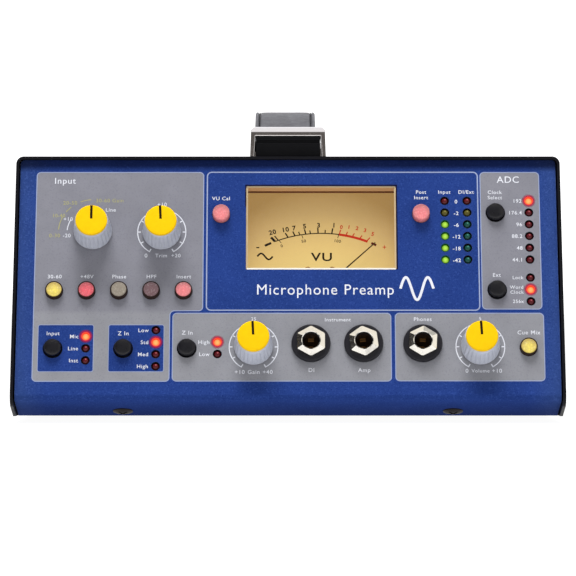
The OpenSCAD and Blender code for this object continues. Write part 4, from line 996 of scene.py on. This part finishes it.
# ---------------------------------------------------------------- jacks
NUT_FLATS = 11.0
NUT_LOW = 2.0
NUT_TOP = 4.7
NUT_TURNED_R = 6.15
NUT_SLOPE = 0.46
REAR_JACKS = ((-22, 72), (2, 72), (26, 72))


def hex_nut(shape, matrix, flats, low, high, hole):
    """Hexagon nut with a round mouth, six flat slopes down to its sides and turned corners."""
    inner = hole + 0.45

    def from_side(a):
        """Angle from the middle of the nearest side."""
        return math.fmod(a + math.radians(30), math.radians(60)) - math.radians(30)

    def outline(r, z, a):
        return min(flats / 2 / math.cos(from_side(a)), NUT_TURNED_R) if r > inner else r

    def slopes(r, z, a):
        return z - NUT_SLOPE * (r * math.cos(from_side(a)) - inner) if z == high else z

    rows = [(hole, low), (flats, low), (flats, high), (inner, high), (hole + 0.15, high - 0.12),
            (hole, high - 0.45), (hole + 0.02, high - 0.8)]
    shape.lathe(matrix, rows, 96, ring=True, radius=outline, height=slopes)


def washer_profile(inner, outer, thick):
    return [(inner, 0), (outer - 0.1, 0), (outer, 0.15), (outer, thick - 0.7), (outer - 0.18, thick - 0.28),
            (outer - 0.7, thick - 0.03), (outer - 1.1, thick), (inner, thick)]


def jacks():
    nuts, washers, contacts = Shape(), Shape(), Shape()
    places = [on_panel(u, v, 0, turn) for (u, v), turn in zip(JACKS, (0, 7, -3))]
    places += [on_rear(x, z, 0, turn) for (x, z), turn in zip(REAR_JACKS, (4, -3, 7))]
    for place in places:
        hex_nut(nuts, place, NUT_FLATS, NUT_LOW, NUT_TOP, 3.4)
        washers.lathe(place, washer_profile(4.75, WASHER_R, 2.0), 64, ring=True)
        # painted glint: the disc and bars at the bottom of each bore glow
        contacts.lathe(place, [(0, -12.2), (3.1, -12.2), (3.1, -12.0), (0, -12.0)], 32)
        for lift in (1.9, 2.75):
            contacts.prism(place, oblong(-1.15, 1.15, lift - 0.22, lift + 0.22), -2.5, -2.1)
    nuts.done("jack_hex_nuts", "root", nickel, ["jack_nuts"], "nut_nickel", 14)
    washers.done("jack_round_washers", "root", washer_black, ["jack_washers"], "washer_black", 40)
    contacts.done("jack_contacts", "root", contact_brass_painted_glow, slot="pin_brass")


# ---------------------------------------------------------------- meter
PIVOT = (13.4, 49.5)
SCALE_MID = (13.4, 22.8)
SCALE_R = 50.8
NEEDLE_ASIDE = 0.7


def scale_point(angle, beyond=0.0):
    """Point of the scale's flat arc that the needle passes at an angle, in mm on the dial."""
    a = math.radians(angle)
    drop = PIVOT[1] - SCALE_MID[1]
    reach = -drop * math.cos(a) + math.sqrt((drop * math.cos(a)) ** 2 - drop ** 2 + SCALE_R ** 2) + beyond
    return PIVOT[0] + reach * math.sin(a), PIVOT[1] + reach * math.cos(a)


def scale_line(start, end, beyond=0.0, steps=24):
    return [scale_point(start + (end - start) * i / steps, beyond) for i in range(steps + 1)]


def dial():
    w = DIAL_W + 0.01
    black = Print(w, 0.02)
    black.line(scale_line(-42.2, 17.2), 0.42).line(scale_line(-50.6, -45.4), 0.95)
    for angle, length, width in (
            (-42.2, 2.4, 1.0), (-39.4, 2.4, 0.5), (-30.9, 2.2, 0.55), (-24.7, 2.1, 0.55), (-20.2, 1.5, 0.45),
            (-14.6, 2.2, 0.55), (-10.2, 1.5, 0.45), (-2.9, 2.4, 0.55), (3.8, 1.5, 0.45), (10.2, 2.4, 0.55)):
        black.line([scale_point(angle), scale_point(angle, length)], width)
    for angle in (-39.0, -18.5, 16.9):
        black.line([scale_point(angle), scale_point(angle, -1.6)], 0.28)
    for text, u, v in (("20", -6.3, 74.4), ("10", -1.1, 75.5), ("7", 2.4, 76.2), ("5", 6.7, 77.0),
                       ("3", 12.4, 77.4), ("1", 18.6, 77.4)):
        black.words(text, u, v - 0.3, 1.85, turn=(13.4 - u) * 0.7, bold=0.08)
    for text, angle in (("0", -40.5), ("50", -18.8), ("100", 17.6)):
        u, v = scale_point(angle, -2.9)
        black.words(text, u, v, 1.2, turn=-angle * 0.5, bold=0.02)
    black.words("VU", 13.7, 63.4, 3.4, bold=0.085, narrow=1.26).words("-", -12.2, 68.0, 3.2, bold=0.03)
    ripple = [(-12.4 + 6.2 * i / 30, 63.6 + 1.3 * math.sin(2 * math.pi * i / 30)) for i in range(31)]
    black.line(ripple, 0.7)
    black.done("dial_black_print", print_black, slot="needle_black")
    red = Print(w, 0.02)
    red.line(scale_line(17.2, 42.5), 1.0)
    for angle, length in ((17.2, 2.1), (23.4, 1.8), (29.2, 1.8), (35.6, 1.8), (41.6, 2.1)):
        red.line([scale_point(angle), scale_point(angle, length)], 0.45)
    for text, u, v in (("0", 21.6, 76.6), ("1", 24.7, 76.6), ("2", 28.0, 76.1), ("3", 31.2, 75.2),
                       ("5", 34.3, 73.6)):
        red.words(text, u, v - 0.3, 1.5, turn=(13.4 - u) * 0.7, bold=0.06)
    red.words("+", 39.0, 67.6, 2.0, bold=0.03)
    red.done("dial_red_print", print_red, slot="dial_amber")
    Print(w, 0.02).line(scale_line(45.6, 49.6), 1.0).done("dial_end_print", print_oxide, slot="dial_amber")
    screws = Shape()
    head = [(0, 0.02), (1.5, 0.02), (1.5, 0.35), (1.0, 0.75), (0, 0.8)]
    for u in (8.0, 17.8):
        screws.lathe(on_panel(u, 57.6, DIAL_W), head, 24)
    screws.done("dial_screws", "root", brass, slot="movement_steel")


def meter_frame():
    """Frame round the window, painted bright for the light in the clear lens's edge, and the inner walls of
    the meter's case, with painted lamplight on them.
    """
    half_w, half_h = WINDOW[0] / 2, WINDOW[1] / 2
    u, v = WINDOW_MID
    outer = rounded(u - half_w + 0.04, u + half_w - 0.04, v - half_h + 0.04, v + half_h - 0.04, 0.55, 4)
    inner = rounded(u - half_w + 0.75, u + half_w - 0.75, v - half_h + 0.8, v + half_h - 0.6, 0.3, 4)
    ring = Shape()
    levels = ((outer, -0.6), (outer, -0.25), (grown(outer, -0.12), -0.16), (inner, -0.55), (inner, -0.6))
    ring.skin([[ring.vert(PANEL, x, y, w) for x, y in loop] for loop, w in levels], ring=True)
    ring.done("meter_bright_frame", "root", frame_painted_light, slot="window_clear", sharp=25)

    # the walls of the meter's case, with painted lamplight
    liner = Shape()
    left, right, low, high = u - 30.9, u + 30.9, 40.0, 91.6
    for x0, x1, y0, y1 in ((left - 0.3, left, low, high), (right, right + 0.3, low, high),
                           (left, right, high, high + 0.12)):
        liner.prism(PANEL, oblong(x0, x1, y0, y1), -7.9, -3.05)
    liner.done("meter_lit_walls", "root", wall_painted_lamplight, slot="dial_amber")
    strip = rounded(left + 0.1, right - 0.1, high - 0.46, high - 0.01, 0.1, 2)
    seam = Shape().prism(PANEL, strip, DIAL_W + 0.02, -7.2)
    seam.done("meter_wall_seam", "root", seam_brown, slot="meter_black")
    # painted highlight along the window's lower edge
    strip = rounded(u - half_w + 0.4, u + half_w - 0.4, v - half_h + 0.1, v - half_h + 0.75, 0.1, 2)
    sill = Shape().prism(PANEL, strip, -0.55, -0.12)
    sill.done("meter_window_sill", "root", sill_painted_highlight, slot="window_clear")
    # painted shadow of the panel's cut edge along the window's top and its two sides
    shadow = Print(0.045, 0.012)
    x, y = u + half_w + 0.25, v + half_h + 0.25
    shadow.line([(u - half_w - 0.4, y), (x + 0.25, y)], 0.5).line([(x, y), (x, v - half_h)], 0.5)
    shadow.line([(u - half_w - 0.2, y), (u - half_w - 0.2, v + half_h - 9)], 0.4)
    shadow.done("meter_edge_painted_shadow", painted_shadow_navy)


def needle():
    """Pointer of the meter with its hub and tail, on the pivot of the moving coil."""
    axis = joint_spot("needle_swing")
    tip = max(((v.co - NOSE) / MM for v in frame["nodes"]["vu_needle"].data.vertices),
              key=lambda p: (p.dot(X) - axis[0]) ** 2 + (p.dot(UP) - axis[1]) ** 2)
    tip = Vector((tip.dot(X) + NEEDLE_ASIDE, tip.dot(UP)))
    root = Vector((axis[0] + NEEDLE_ASIDE, axis[1]))
    shape = Shape()
    shape.lathe(on_panel(*axis), [(0, -7.0), (2.4, -7.0), (2.4, -5.2), (1.2, -4.9), (0, -4.85)], 32)
    way = (tip - root).normalized()
    side = Vector((-way.y, way.x))
    widths = ((root - way * 4.5, 0.9), (root, 0.3), (tip, 0.2))
    outline = [p - side * half for p, half in widths] + [p + side * half for p, half in reversed(widths)]
    shape.prism(PANEL, outline, -5.8, -5.4)
    shape.done("vu_needle_pointer", "vu_needle", needle_ink_painted_glow, ["vu_needle"], "needle_black", 40)


# ---------------------------------------------------------------- strap
CAP_HALF = 13.2      # half the width inside an end cap


def cap_plates(name, body, half, near, far, low, high):
    """Dark plate across each end cap of the strap, between two distances from the cap's outer end; it stands
    for the shade inside the cap.
    """
    caps_low, caps_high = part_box("strap_end_caps")
    plates = Shape()
    for y, way in ((caps_low.y, 1), (caps_high.y, -1)):
        place = basis(X * way, Y * way, Z, Vector((0, y, caps_low.z)))
        plates.prism(place, oblong(-half, half, near, far), low, high)
    plates.done(name, body, strap_black, slot="strap_leather")


def strap():
    """Padded band with two grooves and stitching, arched between its end caps."""
    low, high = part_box("handle_strap")
    cover_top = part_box("strap_end_caps")[0].z
    cap_len = 0.020
    y0, y1 = low.y + cap_len, high.y - cap_len
    end_top, rise = 0.0074, high.z - cover_top
    thick = 0.0045
    half = 0.01275
    aside = -0.0012
    groove = 0.0109
    steps = 72

    def top_at(s):
        return end_top + (rise - end_top) * (1 - math.cos(2 * math.pi * s)) / 2

    def section(s):
        """Cross-section as (x, height under the top), anticlockwise from the lower left."""
        t = min(thick, top_at(s) - 0.0003)
        edge = 0.0006
        upper = [(half, -edge), (half - 0.0003, -0.0002), (half - 0.0007, 0), (groove + 0.0007, 0),
                 (groove + 0.00035, -0.0006), (groove - 0.00035, -0.0006), (groove - 0.0007, -0.0001),
                 (groove - 0.003, 0), (0.003, 0)]
        upper += [(-x, z) for x, z in reversed(upper)]
        lower = [(-half, -t + edge), (-half + 0.0006, -t), (half - 0.0006, -t), (half, -t + edge)]
        return lower + upper

    band = Shape()
    loops = []
    for i in range(steps + 1):
        s = i / steps
        slope = (rise - end_top) * math.pi * math.sin(2 * math.pi * s) / (y1 - y0)
        normal = Vector((0, -slope, 1)).normalized()
        centre = Vector((aside, y0 + (y1 - y0) * s, cover_top + top_at(s)))
        loops.append([band.bm.verts.new(centre + X * x + normal * z) for x, z in section(s)])
    band.skin(loops, ends=True)
    band.done("strap_band", "handle_strap", leather, ["handle_strap"], "strap_leather", 50)

    ends = Shape()
    for y, way in ((y0, -1), (y1, 1)):
        side = [(0, 0.3), (cap_len / MM, 0.3), (cap_len / MM, 5.8), (0.2, 7.4)]
        ends.prism(basis(Y * way, Z, -X, Vector((CAP_HALF * MM, y, cover_top))), side, 0, 2 * CAP_HALF)
    ends.done("strap_moulded_ends", "handle_strap", strap_black, slot="strap_leather", bevel=0.3)

    # dark plates that paint the shade inside the caps, over the gap above the strap's ends
    cap_plates("strap_cap_shade_lips", "root", CAP_HALF, 0.2, 1.2, 7.2, 8.7)
    cap_plates("strap_end_shade_tips", "handle_strap", CAP_HALF - 0.1, 1.5, 2.0, 5.2, 7.4)

    stitches = Shape()
    pitch, length = 0.0031, 0.0019
    count = int((y1 - y0 - 0.004) / pitch)
    for side in (-1, 1):
        for i in range(count):
            y = y0 + 0.003 + i * pitch
            points = []
            for k in range(4):
                yk = y + length * k / 3
                s = (yk - y0) / (y1 - y0)
                lift = 0.00022 * math.sin(math.pi * k / 3)
                points.append(Vector((aside + side * groove, yk, cover_top + top_at(s) - 0.00052 + lift)))
            stitches.tube(points, 0.00024, 6)
    stitches.done("strap_stitches", "handle_strap", thread, slot="strap_leather")


# ---------------------------------------------------------------- CAD nodes that stay
NODE_LOOKS = {
    "chassis_base": inner_coat, "front_panel": blue, "top_cover": black_coat, "rear_panel": black_coat,
    "feet": rubber, "case_screws": dark_steel, "panel_screws": black_screw, "strap_end_caps": chrome,
    "front_board": board_green, "main_board": board_green, "converter_card": board_green,
    "standoffs": dark_steel, "mains_transformer": tape, "transformer_clamp": plate_metal,
    "input_transformer": plate_metal, "capacitors": sleeve, "power_regulators": cast,
    "ribbon_cable": ribbon, "card_plate": plate_metal, "mains_inlet": socket_black,
    "power_rocker": rocker_red, "mic_socket": socket_black, "mic_latch": latch_metal,
    "line_output": socket_black, "contact_pins": brass, "jack_bodies": socket_black,
    "vu_case": meter_black, "vu_window": glass, "vu_movement": plate_metal,
    "switch_bodies": meter_black, "pot_bodies": pot_blue,
}
NODE_BEVELS = {"top_cover": 0.25, "rear_panel": 0.2, "chassis_base": 0.2, "strap_end_caps": 0.35,
               "feet": 0.3, "mains_inlet": 0.3, "card_plate": 0.15, "power_rocker": 0.3,
               "mic_latch": 0.2, "mic_socket": 0.2, "line_output": 0.2}


def dress_nodes():
    for name, look in list(NODE_LOOKS.items()) + [("vu_dial", dial_look())]:
        node = frame["nodes"][name]
        if not node.material_slots:
            node.data.materials.append(look.material)
        for holder in node.material_slots:
            holder.material = look.material
    for name, width in NODE_BEVELS.items():
        node = frame["nodes"][name]
        weld = node.modifiers.new("weld", "WELD")
        weld.merge_threshold = 0.000002
        add_bevel(node, width, 30)
        normals = node.modifiers.new("normals", "WEIGHTED_NORMAL")
        normals.keep_sharp = True


# ---------------------------------------------------------------- stage, light and camera
CAMERA_AHEAD = 1.382        # in front of the panel's nose
CAMERA_ABOVE = 0.0443       # above the nose
CAMERA_LENS = 218.4         # millimetres on a 36 mm sensor


def emit(name, colour, strength, tone=(1, 1, 1)):
    """Plain material for the stage that gives off light of its own."""
    material = bpy.data.materials.new(name)
    material.use_nodes = True
    sockets = material.node_tree.nodes["Principled BSDF"].inputs
    for socket, value in (("Base Color", colour), ("Roughness", 1.0), ("Specular IOR Level", 0.0),
                          ("Emission Color", (*tone, 1)), ("Emission Strength", strength)):
        sockets[socket].default_value = value
    return material


def plane(name, centre, half_u, half_v, u, v, material):
    mesh = bpy.data.meshes.new(name)
    corners = [centre + u * a * half_u + v * b * half_v for a, b in ((-1, -1), (1, -1), (1, 1), (-1, 1))]
    mesh.from_pydata([tuple(c) for c in corners], [], [(0, 1, 2, 3)])
    mesh.materials.append(material)
    card = placed(name, mesh)
    return card


def reflected(name, centre, half, strength, colour=(1, 1, 1)):
    """Card that is only seen in reflections; it faces the nuts and lights nothing."""
    towards = (Vector((0, -0.1, 0.04)) - centre).normalized()
    side = towards.cross(Vector((0, 1, 0.001))).normalized()
    shine = emit(name, (0, 0, 0, 1), strength, colour)
    card = plane(name, centre, *half, side, towards.cross(side), shine)
    card.visible_diffuse = False
    card.visible_camera = False
    card.visible_shadow = False


def area_light(name, place, aim, size, power, colour=(1, 1, 1)):
    light = bpy.data.lights.new(name, "AREA")
    light.shape = "RECTANGLE"
    light.size, light.size_y = size
    light.energy = power
    light.color = colour
    lamp = placed(name, light)
    lamp.location = place
    lamp.rotation_mode = "QUATERNION"
    lamp.rotation_quaternion = (Vector(aim) - Vector(place)).to_track_quat("-Z", "Y")
    lamp.visible_glossy = False


def stage():
    pale = emit("pale_floor", (0.2, 0.2, 0.2, 1), 0.95)
    plane("floor", Vector((0, 0, 0)), 6, 6, X, Y, pale)
    world = bpy.data.worlds.new("studio")
    world.use_nodes = True
    world.node_tree.nodes["Background"].inputs["Color"].default_value = (1, 1, 1, 1)
    world.node_tree.nodes["Background"].inputs["Strength"].default_value = 0.5
    bpy.context.scene.world = world
    backdrop = emit("backdrop_white", (0.5, 0.5, 0.5, 1), 1.0)
    plane("backdrop", Vector((0, 5.9, 1.5)), 6, 2, X, Z, backdrop)
    area_light("key", (-0.12, -0.30, 1.5), (0, -0.08, 0.05), (0.9, 0.7), 32)
    area_light("fill", (0.5, -2.0, 0.25), (0, -0.1, 0.05), (1.2, 0.6), 5, (0.92, 0.94, 1.0))
    dark = emit("dark_card", (0.01, 0.01, 0.01, 1), 0.12, (1.0, 0.93, 0.88))
    plane("dark_card_low", Vector((0, -3.2, 0.24)), 0.9, 0.22, X, Z, dark)
    reflected("card_above", Vector((0, -0.16, 1.2)), (0.5, 0.4), 1.12, (1.0, 0.96, 0.88))
    reflected("card_right", Vector((0.58, -0.47, 0.45)), (0.22, 0.22), 1.15, (1.0, 0.97, 0.9))
    reflected("card_left", Vector((-0.58, -0.47, 0.45)), (0.16, 0.2), 0.04, (1.0, 0.93, 0.88))
    scene = bpy.context.scene
    scene.view_settings.view_transform = "Standard"
    scene.view_settings.look = "None"
    scene.view_settings.exposure = 0
    scene.view_settings.gamma = 1


def camera():
    data = bpy.data.cameras.new("camera")
    data.sensor_width = 36
    data.lens = CAMERA_LENS
    data.clip_start, data.clip_end = 0.05, 40
    eye = placed("camera", data)
    eye.location = (0, NOSE.y - CAMERA_AHEAD, NOSE.z + CAMERA_ABOVE)
    eye.rotation_euler = (math.radians(90), 0, 0)
    bpy.context.scene.camera = eye


camera()
stage()
dress_nodes()
printed_areas()
knob_rings()
labels()
for knob_name in KNOBS:
    knob(knob_name)
for button_name in BUTTONS:
    button(button_name)
all_diodes()
jacks()
dial()
meter_frame()
needle()
strap()
